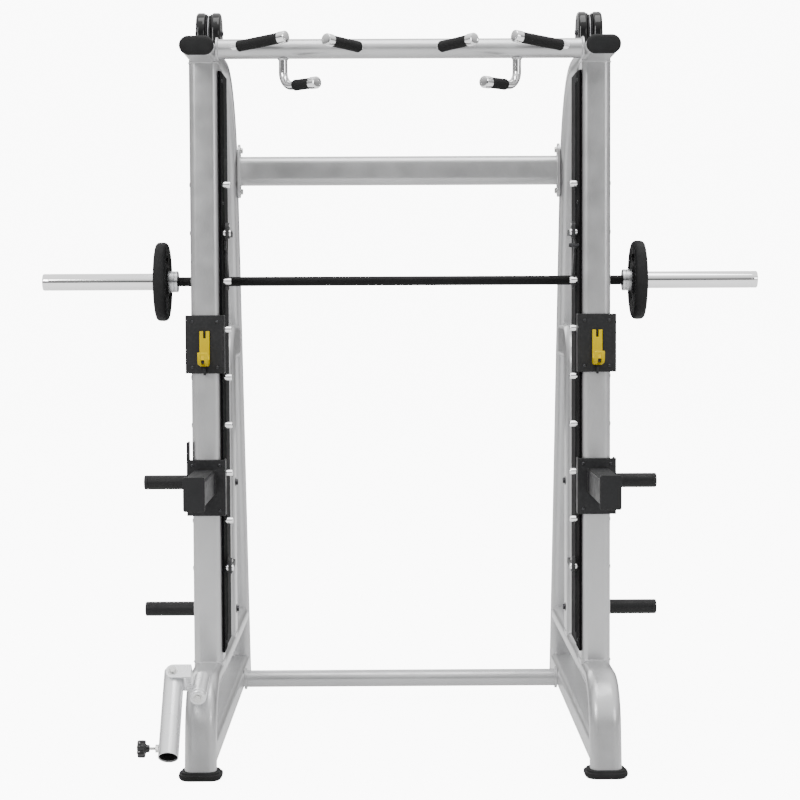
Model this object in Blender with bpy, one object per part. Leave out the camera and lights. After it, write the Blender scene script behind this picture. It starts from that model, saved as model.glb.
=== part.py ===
"""Smith machine: a counterbalanced guided barbell in a half-rack frame, with plate storage pegs,
bar hooks, spotter arms, a multi-grip pull-up bar and a landmine socket on the left foot.

Metres, +Z up, the open front faces -Y. Depth is measured back from the front uprights' front
faces; DEPTH_ORIGIN moves it so that the world origin lies under the middle of the machine.
"""

import math

import bmesh
import bpy
from mathutils import Matrix, Vector

# ---- driving dimensions ----
GAP = 0.0003
DEPTH_ORIGIN = 0.34653

SIDE_X = 0.5675

UPRIGHT_WIDTH = 0.085
UPRIGHT_DEPTH = 0.120
UPRIGHT_CORNER = 0.020
UPRIGHT_INNER_X = SIDE_X - UPRIGHT_WIDTH / 2
UPRIGHT_OUTER_X = SIDE_X + UPRIGHT_WIDTH / 2
WALL = 0.004

TUBE_WIDTH = 0.094
TUBE_THICK = 0.050
TUBE_CORNER = 0.024
TUBE_INNER_X = SIDE_X - TUBE_WIDTH / 2
TOP_Z = 2.047
TOP_FRONT_DEPTH = -0.190
REAR_BEND_RADIUS = 0.400
REAR_LEAN = math.radians(14)
REAR_PASS = (0.812, 1.333)

ARCH_WIDTH = 0.090
ARCH_THICK = 0.058
ARCH_CORNER = 0.026
ARCH_Z = 0.250
ARCH_INNER_X = SIDE_X - ARCH_WIDTH / 2
ARCH_BEND_RADIUS = 0.130
FRONT_FOOT_DEPTH = -0.262
FRONT_LEAN = math.radians(8.9)
FOOT_HEIGHT = 0.0232
FRAME_BOTTOM = 0.0235
FOOT_LEVEL = 0.033

RAIL_HEIGHT = 0.070
RAIL_Z = 0.069
RAIL_CORNER = 0.018

STORAGE_DEPTH = 0.5495
STORAGE_THICK = 0.109
STORAGE_TOP_Z = 1.200
STORAGE_BEND_RADIUS = 0.085
STORAGE_PEG_Z = (0.758, 0.353)
STORAGE_PEG_RADIUS = 0.023
STORAGE_PEG_TIP_X = 0.815

CROSSBEAM_Z = 1.752
CROSSBEAM_FLANGE_HEIGHT = 0.173
CROSSBEAM_FLANGE_WIDTH = 0.060
FLANGE_THICK = 0.008
CROSSBAR_DEPTH = 0.850
CROSSBAR_RADIUS = 0.028

PULL_BAR_DEPTH = -0.100
PULL_BAR_RADIUS = 0.028
HANDLE_RADIUS = 0.0125

PEG_COUNT = 9
PEG_PITCH = 0.1405
PEG_LOWEST_Z = 0.5495
PEG_DEPTH = 0.060
PEG_RADIUS = 0.009
PEG_TIP_X = 0.4955
BAR_PEG = 6
STOP_HALF = 0.009
UPPER_STOP_PEG = 7

BAR_Z = PEG_LOWEST_Z + BAR_PEG * PEG_PITCH
BAR_DEPTH = 0.178
BAR_RADIUS = 0.014
COLLAR_RADIUS = 0.032
COLLAR_X = 0.662
SLEEVE_X = 0.690
SLEEVE_RADIUS = 0.025
BAR_END_X = 1.065
RUNNING_GAP = 0.0003

HOUSING_X = (0.5253, 0.6050)
HOUSING_DEPTH = (0.1203, 0.3340)
HOUSING_Z = (0.300, 2.010)
HOUSING_WALL = 0.003
HOUSING_END = 0.006
BAR_SLOT_DEPTH = (0.150, 0.206)
BAR_SLOT_Z = (0.330, 1.980)
ROD_DEPTH = 0.230
ROD_RADIUS = 0.015

PULLEY_Z = 2.133
CABLE_ARC_RADIUS = 0.052
CABLE_RADIUS = 0.0025
CABLE_HOLE_RADIUS = 0.006
PULLEY_RADIUS = 0.058
AXLE_RADIUS = 0.010

CARRIAGE_HALF_WIDTH = 0.0325
CARRIAGE_HALF_HEIGHT = 0.040
COUNTERWEIGHT_Z = 0.760
COUNTERWEIGHT_LENGTH = 0.450
COUNTERWEIGHT_WIDTH = 0.062
COUNTERWEIGHT_DEPTHS = (0.262, 0.324)

BRACKET_X = (0.5125, 0.6250)
BRACKET_THICK = 0.006
BRACKET_FLANGE_DEPTH = 0.044
JHOOK_Z = (1.125, 1.294)
SPOTTER_Z = (0.710, 0.874)

SWIVEL_PITCH = math.radians(12)
SWIVEL_END = (0.330, 0.2400)
TUBE_PITCH = math.radians(48)
LANDMINE_PIVOT = (-0.636, -0.300, 0.292)
LANDMINE_LENGTH = 0.250

FINISHES = {
    "frame_paint": ((0.60, 0.61, 0.62), 0.35, 0.5),
    "black_paint": ((0.02, 0.02, 0.022), 0.45, 0.2),
    "chrome": ((0.85, 0.85, 0.86), 0.12, 1.0),
    "steel": ((0.55, 0.55, 0.56), 0.30, 1.0),
    "cast_iron": ((0.12, 0.12, 0.12), 0.60, 0.8),
    "rubber": ((0.03, 0.03, 0.03), 0.75, 0.0),
    "gloss_black": ((0.01, 0.01, 0.01), 0.12, 0.0),
    "yellow": ((0.85, 0.62, 0.02), 0.40, 0.0),
    "silver_paint": ((0.78, 0.79, 0.80), 0.30, 0.6),
}


def at(x, depth, z):
    return Vector((x, depth - DEPTH_ORIGIN, z))


def side_name(side):
    return "left" if side < 0 else "right"


# ---- shapes: each returns a bmesh in world space ----
def rounded_rectangle(width, height, radius, steps=2):
    """Points round a rectangle centred on 0, counterclockwise."""
    points = []
    for corner, (sx, sy) in enumerate(((1, 1), (-1, 1), (-1, -1), (1, -1))):
        cx = sx * (width / 2 - radius)
        cy = sy * (height / 2 - radius)
        for step in range(steps + 1):
            turn = math.pi / 2 * (corner + step / steps)
            points.append((cx + radius * math.cos(turn), cy + radius * math.sin(turn)))
    return points


def circle(radius, steps=24):
    turns = (2 * math.pi * step / steps for step in range(steps))
    return [(radius * math.cos(turn), radius * math.sin(turn)) for turn in turns]


def fillet(points, radius, steps):
    """The path through the points, with each inner corner replaced by an arc."""
    path = [points[0]]
    for before, corner, after in zip(points, points[1:], points[2:]):
        come = (corner - before).normalized()
        go = (after - corner).normalized()
        half = come.angle(go) / 2
        centre = corner + (go - come).normalized() * radius / math.cos(half)
        start = corner - come * radius * math.tan(half)
        spoke = start - centre
        normal = come.cross(go).normalized()
        for step in range(steps + 1):
            path.append(centre + Matrix.Rotation(2 * half * step / steps, 3, normal) @ spoke)
    path.append(points[-1])
    return path


def join_rings(bm, rings, closed=False):
    count = len(rings[0])
    pairs = list(zip(rings, rings[1:]))
    if closed:
        pairs.append((rings[-1], rings[0]))
    for low, high in pairs:
        for i in range(count):
            j = (i + 1) % count
            bm.faces.new((low[i], low[j], high[j], high[i]))


def sweep(outline, path, across, inner=None, first_normal=None, last_normal=None):
    """Carries an outline along a flat path, mitred at its points, solid or with a hole along it."""
    bm = bmesh.new()
    layers = [[], []]
    for i, point in enumerate(path):
        come = (point - path[i - 1]).normalized() if i else None
        go = (path[i + 1] - point).normalized() if i + 1 < len(path) else None
        tangent = come or go
        normal = (tangent + (go or tangent)).normalized()
        if i == 0 and first_normal:
            normal = first_normal
        if go is None and last_normal:
            normal = last_normal
        up = across.cross(tangent).normalized()
        up = up - tangent * (up.dot(normal) / tangent.dot(normal))
        for layer, shape in zip(layers, (outline, inner)):
            if shape:
                layer.append([bm.verts.new(point + across * a + up * b) for a, b in shape])
    for layer in layers:
        if layer:
            join_rings(bm, layer)
    for end in (0, -1):
        if inner:
            join_rings(bm, [layers[0][end], layers[1][end]])
        else:
            bm.faces.new(layers[0][end])
    return bm


def box(low, high):
    bm = bmesh.new()
    bmesh.ops.create_cube(bm, size=1.0)
    size = high - low
    bmesh.ops.transform(bm, matrix=Matrix.Diagonal((*size, 1)), verts=bm.verts)
    bmesh.ops.translate(bm, vec=(low + high) / 2, verts=bm.verts)
    return bm


def span_box(xs, depths, zs):
    """A box from pairs of x, depth and z in any order."""
    corners = [at(x, depth, z) for x, depth, z in zip(xs, depths, zs)]
    low = Vector(map(min, *corners))
    high = Vector(map(max, *corners))
    return box(low, high)


def rod(start, end, radius, steps=20):
    across = (end - start).orthogonal().normalized()
    return sweep(circle(radius, steps), [start, end], across)


def turned(profile, origin, direction, steps=20, ring=False):
    """Turns (distance along, radius) points about an axis; a ring's profile is a closed loop."""
    bm = bmesh.new()
    across = direction.orthogonal().normalized()
    up = direction.cross(across)
    rings = []
    for along, radius in profile:
        centre = origin + direction * along
        rings.append(
            [bm.verts.new(centre + across * a + up * b) for a, b in circle(radius, steps)]
        )
    join_rings(bm, rings, closed=ring)
    if not ring:
        bm.faces.new(rings[0])
        bm.faces.new(rings[-1])
    return bm


def prism(outline, origin, across, up, start, end):
    """An outline in the plane of across and up, extruded along their normal."""
    normal = across.cross(up)
    bm = bmesh.new()
    rings = []
    for along in (start, end):
        base = origin + normal * along
        rings.append([bm.verts.new(base + across * a + up * b) for a, b in outline])
    join_rings(bm, rings)
    for ring in rings:
        bm.faces.new(ring)
    return bm


def together(*shapes):
    """Several separate shapes in one mesh, for a cutter."""
    total = bmesh.new()
    for shape in shapes:
        mesh = bpy.data.meshes.new("piece")
        bmesh.ops.recalc_face_normals(shape, faces=shape.faces)
        shape.to_mesh(mesh)
        shape.free()
        total.from_mesh(mesh)
        bpy.data.meshes.remove(mesh)
    return total


# ---- objects ----
def finish_material(finish):
    found = bpy.data.materials.get(finish)
    if found:
        return found
    color, roughness, metallic = FINISHES[finish]
    made = bpy.data.materials.new(finish)
    made.use_nodes = True
    shader = made.node_tree.nodes["Principled BSDF"]
    shader.inputs["Base Color"].default_value = (*color, 1)
    shader.inputs["Roughness"].default_value = roughness
    shader.inputs["Metallic"].default_value = metallic
    made.diffuse_color = (*color, 1)
    return made


def add(name, shape, finish=None, origin=None):
    origin = origin or Vector((0, 0, 0))
    bmesh.ops.recalc_face_normals(shape, faces=shape.faces)
    bmesh.ops.translate(shape, vec=-origin, verts=shape.verts)
    mesh = bpy.data.meshes.new(name)
    shape.to_mesh(mesh)
    shape.free()
    made = bpy.data.objects.new(name, mesh)
    made.location = origin
    bpy.context.scene.collection.objects.link(made)
    if finish:
        mesh.materials.append(finish_material(finish))
    smooth(mesh)
    return made


def smooth(mesh):
    mesh.shade_smooth()
    mesh.set_sharp_from_angle(angle=math.radians(30))


def combine(target, shape, operation):
    """Applies a Boolean with a shape that is then removed."""
    tool = add("tool", shape)
    modifier = target.modifiers.new("combine", "BOOLEAN")
    modifier.operation = operation
    modifier.object = tool
    modifier.solver = "EXACT"
    bpy.context.view_layer.update()
    graph = bpy.context.evaluated_depsgraph_get()
    mesh = bpy.data.meshes.new_from_object(target.evaluated_get(graph))
    target.modifiers.clear()
    target.data = mesh
    smooth(mesh)
    bpy.data.objects.remove(tool, do_unlink=True)


def weld(target, *shapes):
    for shape in shapes:
        combine(target, shape, "UNION")


def cut(target, *shapes):
    for shape in shapes:
        combine(target, shape, "DIFFERENCE")


def bevel(target, width, segments=2, angle=30):
    modifier = target.modifiers.new("edges", "BEVEL")
    modifier.width = width
    modifier.segments = segments
    modifier.limit_method = "ANGLE"
    modifier.angle_limit = math.radians(angle)


# ---- frame ----
ACROSS = Vector((1, 0, 0))
UP = Vector((0, 0, 1))
LEVEL = Vector((0, 0, 1))
POST_NORMAL = Vector((0, math.cos(REAR_LEAN), math.sin(REAR_LEAN)))


def post_depth(z):
    """Depth of the leaning rear post's centre line."""
    return REAR_PASS[0] + (REAR_PASS[1] - z) * math.tan(REAR_LEAN)


def post_face(z):
    return post_depth(z) - TUBE_THICK / 2 / math.cos(REAR_LEAN)


def leg_depth(z):
    """Depth of the front leg's centre line."""
    return FRONT_FOOT_DEPTH + (z - FOOT_LEVEL) * math.tan(FRONT_LEAN)


def hollow(width, height, corner, wall, steps=2):
    outer = rounded_rectangle(width, height, corner, steps)
    inner = rounded_rectangle(width - 2 * wall, height - 2 * wall, corner - wall, steps)
    return outer, inner


def peg_levels():
    return [PEG_LOWEST_Z + PEG_PITCH * index for index in range(PEG_COUNT)]


def peg_holes(side, radius, x_from, x_to):
    return together(
        *(
            rod(at(side * x_from, PEG_DEPTH, z), at(side * x_to, PEG_DEPTH, z), radius, 10)
            for z in peg_levels()
        )
    )


def front_upright(side):
    outer, inner = hollow(UPRIGHT_WIDTH, UPRIGHT_DEPTH, UPRIGHT_CORNER, WALL)
    bottom = ARCH_Z + ARCH_THICK / 2 + GAP
    top = TOP_Z - TUBE_THICK / 2 - GAP
    x = side * SIDE_X
    path = [at(x, UPRIGHT_DEPTH / 2, bottom), at(x, UPRIGHT_DEPTH / 2, top)]
    made = add(f"front_upright_{side_name(side)}", sweep(outer, path, ACROSS, inner), "frame_paint")
    cut(made, peg_holes(side, PEG_RADIUS + GAP, UPRIGHT_INNER_X - 0.01, UPRIGHT_INNER_X + 0.01))


def cable_holes(side, z_from, z_to):
    x = side * SIDE_X
    depths = (ROD_DEPTH - CABLE_ARC_RADIUS, ROD_DEPTH + CABLE_ARC_RADIUS)
    return together(
        *(rod(at(x, d, z_from), at(x, d, z_to), CABLE_HOLE_RADIUS, 12) for d in depths)
    )


def top_rear_tube(side):
    """One bent tube: the top rail, the rear bend and the leaning rear post down to the floor."""
    outer, inner = hollow(TUBE_WIDTH, TUBE_THICK, TUBE_CORNER, 0.003)
    x = side * SIDE_X
    corners = [
        at(x, TOP_FRONT_DEPTH, TOP_Z),
        at(x, post_depth(TOP_Z), TOP_Z),
        at(x, post_depth(FRAME_BOTTOM), FRAME_BOTTOM),
    ]
    path = fillet(corners, REAR_BEND_RADIUS, 8)
    shape = sweep(outer, path, ACROSS, inner, last_normal=LEVEL)
    made = add(f"top_rear_tube_{side_name(side)}", shape, "frame_paint")
    cut(made, cable_holes(side, TOP_Z - 0.05, TOP_Z + 0.05))


def arch_path(x):
    corners = [
        at(x, leg_depth(FRAME_BOTTOM), FRAME_BOTTOM),
        at(x, leg_depth(ARCH_Z), ARCH_Z),
        at(x, post_face(ARCH_Z) - GAP, ARCH_Z),
    ]
    return fillet(corners, ARCH_BEND_RADIUS, 6)


def base_arch(side):
    outer, inner = hollow(ARCH_WIDTH, ARCH_THICK, ARCH_CORNER, WALL)
    shape = sweep(
        outer,
        arch_path(side * SIDE_X),
        ACROSS,
        inner,
        first_normal=LEVEL,
        last_normal=POST_NORMAL,
    )
    add(f"base_arch_{side_name(side)}", shape, "frame_paint")


def floor_rail(side):
    outer, inner = hollow(ARCH_WIDTH, RAIL_HEIGHT, RAIL_CORNER, WALL)
    x = side * SIDE_X
    front = leg_depth(RAIL_Z) + ARCH_THICK / 2 / math.cos(FRONT_LEAN) + GAP
    path = [at(x, front, RAIL_Z), at(x, post_face(RAIL_Z) - GAP, RAIL_Z)]
    leg_normal = Vector((0, math.cos(FRONT_LEAN), -math.sin(FRONT_LEAN)))
    shape = sweep(outer, path, ACROSS, inner, first_normal=leg_normal, last_normal=POST_NORMAL)
    add(f"floor_rail_{side_name(side)}", shape, "frame_paint")


def storage_post(side):
    outer, inner = hollow(UPRIGHT_WIDTH, STORAGE_THICK, UPRIGHT_CORNER, WALL)
    x = side * SIDE_X
    corners = [
        at(x, STORAGE_DEPTH, ARCH_Z + ARCH_THICK / 2 + GAP),
        at(x, STORAGE_DEPTH, STORAGE_TOP_Z),
        at(x, post_face(STORAGE_TOP_Z) - GAP, STORAGE_TOP_Z),
    ]
    path = fillet(corners, STORAGE_BEND_RADIUS, 5)
    shape = sweep(outer, path, ACROSS, inner, last_normal=POST_NORMAL)
    add(f"storage_post_{side_name(side)}", shape, "frame_paint")


def storage_peg(side, level, z):
    profile = [
        (GAP, 0.032),
        (0.008, 0.032),
        (0.009, STORAGE_PEG_RADIUS),
        (STORAGE_PEG_TIP_X - UPRIGHT_OUTER_X - 0.004, STORAGE_PEG_RADIUS),
        (STORAGE_PEG_TIP_X - UPRIGHT_OUTER_X, STORAGE_PEG_RADIUS - 0.004),
    ]
    origin = at(side * UPRIGHT_OUTER_X, STORAGE_DEPTH, z)
    shape = turned(profile, origin, Vector((side, 0, 0)), 16)
    add(f"storage_peg_{level}_{side_name(side)}", shape, "black_paint")


def bend_depth(z):
    """Depth of the top rear tube's centre line where it bends."""
    half = (math.pi / 2 - REAR_LEAN) / 2
    centre_depth = post_depth(TOP_Z) - REAR_BEND_RADIUS * math.tan(half)
    rise = z - (TOP_Z - REAR_BEND_RADIUS)
    return centre_depth + math.sqrt(REAR_BEND_RADIUS**2 - rise**2)


def upper_crossbeam():
    depth = bend_depth(CROSSBEAM_Z)
    reach = TUBE_INNER_X - GAP
    outer, inner = hollow(TUBE_THICK, TUBE_WIDTH, TUBE_CORNER, 0.003)
    flange = rounded_rectangle(CROSSBEAM_FLANGE_WIDTH, CROSSBEAM_FLANGE_HEIGHT, 0.029, 5)
    middle = at(0, depth, CROSSBEAM_Z)
    back = Vector((0, 1, 0))
    beam = prism(outer, middle, back, UP, -reach, reach)
    made = add("upper_crossbeam", beam, "frame_paint")
    for side in (-1, 1):
        ends = sorted((side * (reach - FLANGE_THICK), side * reach))
        weld(made, prism(flange, middle, back, UP, *ends))
    cut(made, prism(inner, middle, back, UP, -reach - 0.01, reach + 0.01))


def lower_crossbar():
    reach = ARCH_INNER_X - GAP
    middle = at(0, CROSSBAR_DEPTH, RAIL_Z)
    made = add(
        "lower_crossbar",
        turned([(-reach, CROSSBAR_RADIUS), (reach, CROSSBAR_RADIUS)], middle, ACROSS),
        "frame_paint",
    )
    for side in (-1, 1):
        ends = sorted((side * (reach - FLANGE_THICK), side * reach))
        weld(made, turned([(end, 0.035) for end in ends], middle, ACROSS))
    bore = CROSSBAR_RADIUS - 0.003
    cut(made, turned([(-reach - 0.01, bore), (reach + 0.01, bore)], middle, ACROSS))


def handle_paths():
    """The straight handles as (root, tip), and the hooked ones as (root, corner, tip)."""
    paths = []
    for side in (-1, 1):
        outer_root = at(side * 0.500, PULL_BAR_DEPTH, TOP_Z)
        paths.append([outer_root, outer_root + Vector((-side * 0.185, -0.113, 0.021))])
        inner_root = at(side * 0.095, PULL_BAR_DEPTH, TOP_Z)
        paths.append([inner_root, inner_root + Vector((side * 0.112, -0.132, 0.011))])
        hook_root = at(side * 0.331, PULL_BAR_DEPTH, TOP_Z)
        corner = hook_root + Vector((0, 0, -0.106))
        tip = corner + Vector((-side * 0.66, -0.751, 0)) * 0.152
        paths.append(fillet([hook_root, corner, tip], 0.040, 6))
    return paths


def pull_up_bar():
    reach = TUBE_INNER_X - GAP
    middle = at(0, PULL_BAR_DEPTH, TOP_Z)
    made = add(
        "pull_up_bar",
        turned([(-reach, PULL_BAR_RADIUS), (reach, PULL_BAR_RADIUS)], middle, ACROSS),
        "frame_paint",
    )
    for path in handle_paths():
        along = path[-1] - path[-2]
        turn = (path[1] - path[0]).cross(along)
        across = turn.normalized() if len(path) > 2 else along.orthogonal().normalized()
        weld(made, sweep(circle(HANDLE_RADIUS, 10), path, across))
    bore = PULL_BAR_RADIUS - 0.003
    cut(made, turned([(-reach - 0.01, bore), (reach + 0.01, bore)], middle, ACROSS))


def foot(end, side):
    front = end == "front"
    depth = leg_depth(FOOT_LEVEL) if front else post_depth(FOOT_LEVEL)
    width, length = (0.122, 0.100) if front else (0.110, 0.090)
    outline = rounded_rectangle(width, length, 0.034, 5)
    waist = rounded_rectangle(width - 0.016, length - 0.016, 0.028, 5)
    middle = at(side * SIDE_X, depth, 0)
    bm = bmesh.new()
    rings = []
    for z, shape in ((0, waist), (0.008, outline), (0.016, outline), (FOOT_HEIGHT, waist)):
        rings.append([bm.verts.new(middle + Vector((a, b, z))) for a, b in shape])
    join_rings(bm, rings)
    bm.faces.new(rings[0])
    bm.faces.new(rings[-1])
    add(f"foot_{end}_{side_name(side)}", bm, "rubber")


def beam_cap(side):
    outline = rounded_rectangle(TUBE_WIDTH + 0.003, TUBE_THICK + 0.003, 0.025, 6)
    face = rounded_rectangle(TUBE_WIDTH - 0.013, TUBE_THICK - 0.013, 0.018, 6)
    bm = bmesh.new()
    rings = []
    for depth, shape in ((0.0003, outline), (0.010, outline), (0.018, face)):
        base = at(side * SIDE_X, TOP_FRONT_DEPTH - depth, TOP_Z)
        rings.append([bm.verts.new(base + Vector((a, 0, b))) for a, b in shape])
    join_rings(bm, rings)
    bm.faces.new(rings[0])
    bm.faces.new(rings[-1])
    add(f"beam_cap_{side_name(side)}", bm, "rubber")


# ---- guide columns ----
def guide_housing(side):
    """A slotted channel behind the upright, holding the guide rod and the counterweight."""
    xs = [side * x for x in HOUSING_X]
    made = add(
        f"guide_housing_{side_name(side)}", span_box(xs, HOUSING_DEPTH, HOUSING_Z), "black_paint"
    )
    inside = span_box(
        [side * (HOUSING_X[0] + HOUSING_WALL), side * (HOUSING_X[1] - HOUSING_WALL)],
        (HOUSING_DEPTH[0] + HOUSING_WALL, HOUSING_DEPTH[1] - HOUSING_WALL),
        (HOUSING_Z[0] + HOUSING_END, HOUSING_Z[1] - HOUSING_END),
    )
    slot = span_box(
        [side * (HOUSING_X[0] - 0.01), side * (HOUSING_X[1] + 0.01)], BAR_SLOT_DEPTH, BAR_SLOT_Z
    )
    cut(made, inside, slot, cable_holes(side, HOUSING_Z[1] - 0.02, HOUSING_Z[1] + 0.02))


def guide_rod(side):
    x = side * SIDE_X
    low = at(x, ROD_DEPTH, HOUSING_Z[0] + HOUSING_END + GAP)
    high = at(x, ROD_DEPTH, HOUSING_Z[1] - HOUSING_END - GAP)
    add(f"guide_rod_{side_name(side)}", rod(low, high, ROD_RADIUS, 24), "chrome")


def peg_strip(side):
    """Wear strip on the upright's inner face, drilled for the catch pegs."""
    xs = (side * 0.5190, side * (UPRIGHT_INNER_X - GAP))
    made = add(
        f"peg_strip_{side_name(side)}", span_box(xs, (0.008, 0.112), (0.306, 1.999)), "black_paint"
    )
    cut(made, peg_holes(side, PEG_RADIUS + GAP, 0.510, UPRIGHT_INNER_X))


def catch_pegs(side):
    """Nine pegs on one backing bar inside the upright."""
    levels = peg_levels()
    xs = (side * 0.5300, side * 0.5360)
    made = add(
        f"catch_pegs_{side_name(side)}",
        span_box(xs, (0.048, 0.072), (levels[0] - 0.02, levels[-1] + 0.02)),
        "chrome",
    )
    tip = PEG_TIP_X - 0.533
    profile = [(0, PEG_RADIUS), (-tip - 0.0015, PEG_RADIUS), (-tip, PEG_RADIUS - 0.0015)]
    pegs = [
        turned(profile, at(side * 0.533, PEG_DEPTH, z), Vector((-side, 0, 0)), 10) for z in levels
    ]
    weld(made, together(*pegs))


def pulley(side):
    groove = CABLE_ARC_RADIUS - CABLE_RADIUS - GAP
    bore = AXLE_RADIUS + RUNNING_GAP
    profile = [
        (-0.007, bore),
        (-0.007, PULLEY_RADIUS),
        (-0.005, PULLEY_RADIUS),
        (-0.003, groove),
        (0.003, groove),
        (0.005, PULLEY_RADIUS),
        (0.007, PULLEY_RADIUS),
        (0.007, bore),
    ]
    centre = at(side * SIDE_X, ROD_DEPTH, PULLEY_Z)
    add(
        f"pulley_{side_name(side)}",
        turned(profile, centre, ACROSS, 24, ring=True),
        "steel",
        centre,
    )


def pulley_housing(side):
    """Two bell-shaped cheeks joined by the pulley's axle."""
    centre = at(side * SIDE_X, ROD_DEPTH, PULLEY_Z)
    base = TOP_Z + TUBE_THICK / 2 + GAP - PULLEY_Z
    radius = 0.062
    outline = [(-0.070, base), (0.070, base), (0.070, base + 0.012)]
    for step in range(13):
        turn = math.pi * step / 12
        outline.append((radius * math.cos(turn), radius * math.sin(turn)))
    outline.append((-0.070, base + 0.012))
    back = Vector((0, 1, 0))
    name = f"pulley_housing_{side_name(side)}"
    made = add(name, rod(centre - ACROSS * 0.03, centre + ACROSS * 0.03, AXLE_RADIUS), "gloss_black")
    for cheek in (-1, 1):
        ends = sorted((cheek * 0.0080, cheek * 0.0365))
        weld(made, prism(outline, centre, back, UP, *ends))


def cable(side, carriage_top, weight_top):
    """Steel cable from the carriage, over the pulley, down to the counterweight."""
    x = side * SIDE_X
    front = ROD_DEPTH - CABLE_ARC_RADIUS
    rear = ROD_DEPTH + CABLE_ARC_RADIUS
    route = [at(x, front, carriage_top + GAP), at(x, front, (carriage_top + PULLEY_Z) / 2)]
    for step in range(13):
        turn = math.pi * (1 - step / 12)
        route.append(
            at(
                x,
                ROD_DEPTH + CABLE_ARC_RADIUS * math.cos(turn),
                PULLEY_Z + CABLE_ARC_RADIUS * math.sin(turn),
            )
        )
    route.append(at(x, rear, (weight_top + PULLEY_Z) / 2))
    route.append(at(x, rear, weight_top + GAP))
    curve = bpy.data.curves.new(f"cable_{side_name(side)}", "CURVE")
    curve.dimensions = "3D"
    curve.bevel_depth = CABLE_RADIUS
    curve.bevel_resolution = 1
    curve.use_fill_caps = True
    spline = curve.splines.new("POLY")
    spline.points.add(len(route) - 1)
    for point, place in zip(spline.points, route):
        point.co = (*place, 1)
    made = bpy.data.objects.new(f"cable_{side_name(side)}", curve)
    curve.materials.append(finish_material("steel"))
    bpy.context.scene.collection.objects.link(made)


# ---- moving bar ----
def carriage(side):
    centre = at(side * SIDE_X, BAR_DEPTH, BAR_Z)
    spindle = at(side * SIDE_X, ROD_DEPTH, BAR_Z)
    half = CARRIAGE_HALF_WIDTH
    block = span_box(
        (side * SIDE_X - half, side * SIDE_X + half),
        (BAR_DEPTH - 0.026, ROD_DEPTH + 0.010),
        (BAR_Z - CARRIAGE_HALF_HEIGHT, BAR_Z + CARRIAGE_HALF_HEIGHT),
    )
    name = f"carriage_{side_name(side)}"
    made = add(name, block, "steel", centre)
    weld(made, rod(spindle - UP * 0.085, spindle + UP * 0.085, 0.028, 24))
    cut(
        made,
        rod(spindle - UP * 0.1, spindle + UP * 0.1, ROD_RADIUS + RUNNING_GAP, 24),
        rod(centre - ACROSS * 0.05, centre + ACROSS * 0.05, BAR_RADIUS + RUNNING_GAP, 24),
    )


def smith_bar():
    half = [
        (COLLAR_X, BAR_RADIUS),
        (COLLAR_X, COLLAR_RADIUS),
        (SLEEVE_X, COLLAR_RADIUS),
        (SLEEVE_X, SLEEVE_RADIUS),
        (BAR_END_X - 0.003, SLEEVE_RADIUS),
        (BAR_END_X, SLEEVE_RADIUS - 0.003),
    ]
    profile = [(-x, radius) for x, radius in reversed(half)] + half
    centre = at(0, BAR_DEPTH, BAR_Z)
    made = add("smith_bar", turned(profile, centre, ACROSS, 24), "chrome", centre)
    for side in (-1, 1):
        bore_end = centre + ACROSS * side * (BAR_END_X + 0.01)
        bore_start = centre + ACROSS * side * (SLEEVE_X - 0.01)
        cut(made, rod(bore_start, bore_end, 0.019, 24))


HOOK_RAISED = math.radians(50)


def bar_hook(side):
    """Hook plate that turns with the bar; it points forward and up, clear of the pegs, at rest."""
    reach = BAR_DEPTH - PEG_DEPTH
    ring = 0.026
    outline = [(0.0, -ring), (0.030, -0.014), (reach - 0.0115, -0.010), (reach - 0.0115, 0.0095)]
    outline += [(reach + 0.0110, 0.0095), (reach + 0.0110, -0.012), (reach + 0.0200, -0.012)]
    outline += [(reach + 0.0260, 0.0), (reach + 0.0240, 0.020), (reach + 0.0100, 0.030)]
    outline += [(0.040, 0.026), (0.0, ring)]
    for step in range(1, 8):
        turn = math.pi / 2 + math.pi * step / 8
        outline.append((ring * math.cos(turn), ring * math.sin(turn)))
    forward = Vector((0, -math.cos(HOOK_RAISED), math.sin(HOOK_RAISED)))
    lift = Vector((0, math.sin(HOOK_RAISED), math.cos(HOOK_RAISED)))
    centre = at(0, BAR_DEPTH, BAR_Z)
    normal_x = forward.cross(lift).x
    ends = sorted(side * x * normal_x for x in (0.5115, 0.5185))
    made = add(
        f"bar_hook_{side_name(side)}",
        prism(outline, centre, forward, lift, *ends),
        "black_paint",
        centre,
    )
    start = centre + ACROSS * side * 0.50
    end = centre + ACROSS * side * 0.53
    cut(made, rod(start, end, BAR_RADIUS + RUNNING_GAP, 24))


def weight_plate(side):
    """Small rubber-coated plate on the sleeve, against the collar."""
    outer = 0.1175
    bore = SLEEVE_RADIUS + RUNNING_GAP
    profile = [
        (GAP, bore),
        (GAP, 0.042),
        (0.005, 0.048),
        (0.005, 0.088),
        (0.001, 0.094),
        (0.001, outer - 0.008),
        (0.009, outer),
        (0.029, outer),
        (0.037, outer - 0.008),
        (0.037, 0.094),
        (0.033, 0.088),
        (0.033, 0.048),
        (0.038, 0.042),
        (0.038, bore),
    ]
    centre = at(side * SLEEVE_X, BAR_DEPTH, BAR_Z)
    shape = turned(profile, centre, Vector((side, 0, 0)), 32, ring=True)
    add(f"weight_plate_{side_name(side)}", shape, "rubber", centre)


def counterweight(side):
    half = COUNTERWEIGHT_WIDTH / 2
    shape = span_box(
        (side * SIDE_X - half, side * SIDE_X + half),
        COUNTERWEIGHT_DEPTHS,
        (COUNTERWEIGHT_Z - COUNTERWEIGHT_LENGTH / 2, COUNTERWEIGHT_Z + COUNTERWEIGHT_LENGTH / 2),
    )
    made = add(f"counterweight_{side_name(side)}", shape, "cast_iron")
    bevel(made, 0.003, 1)


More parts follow.
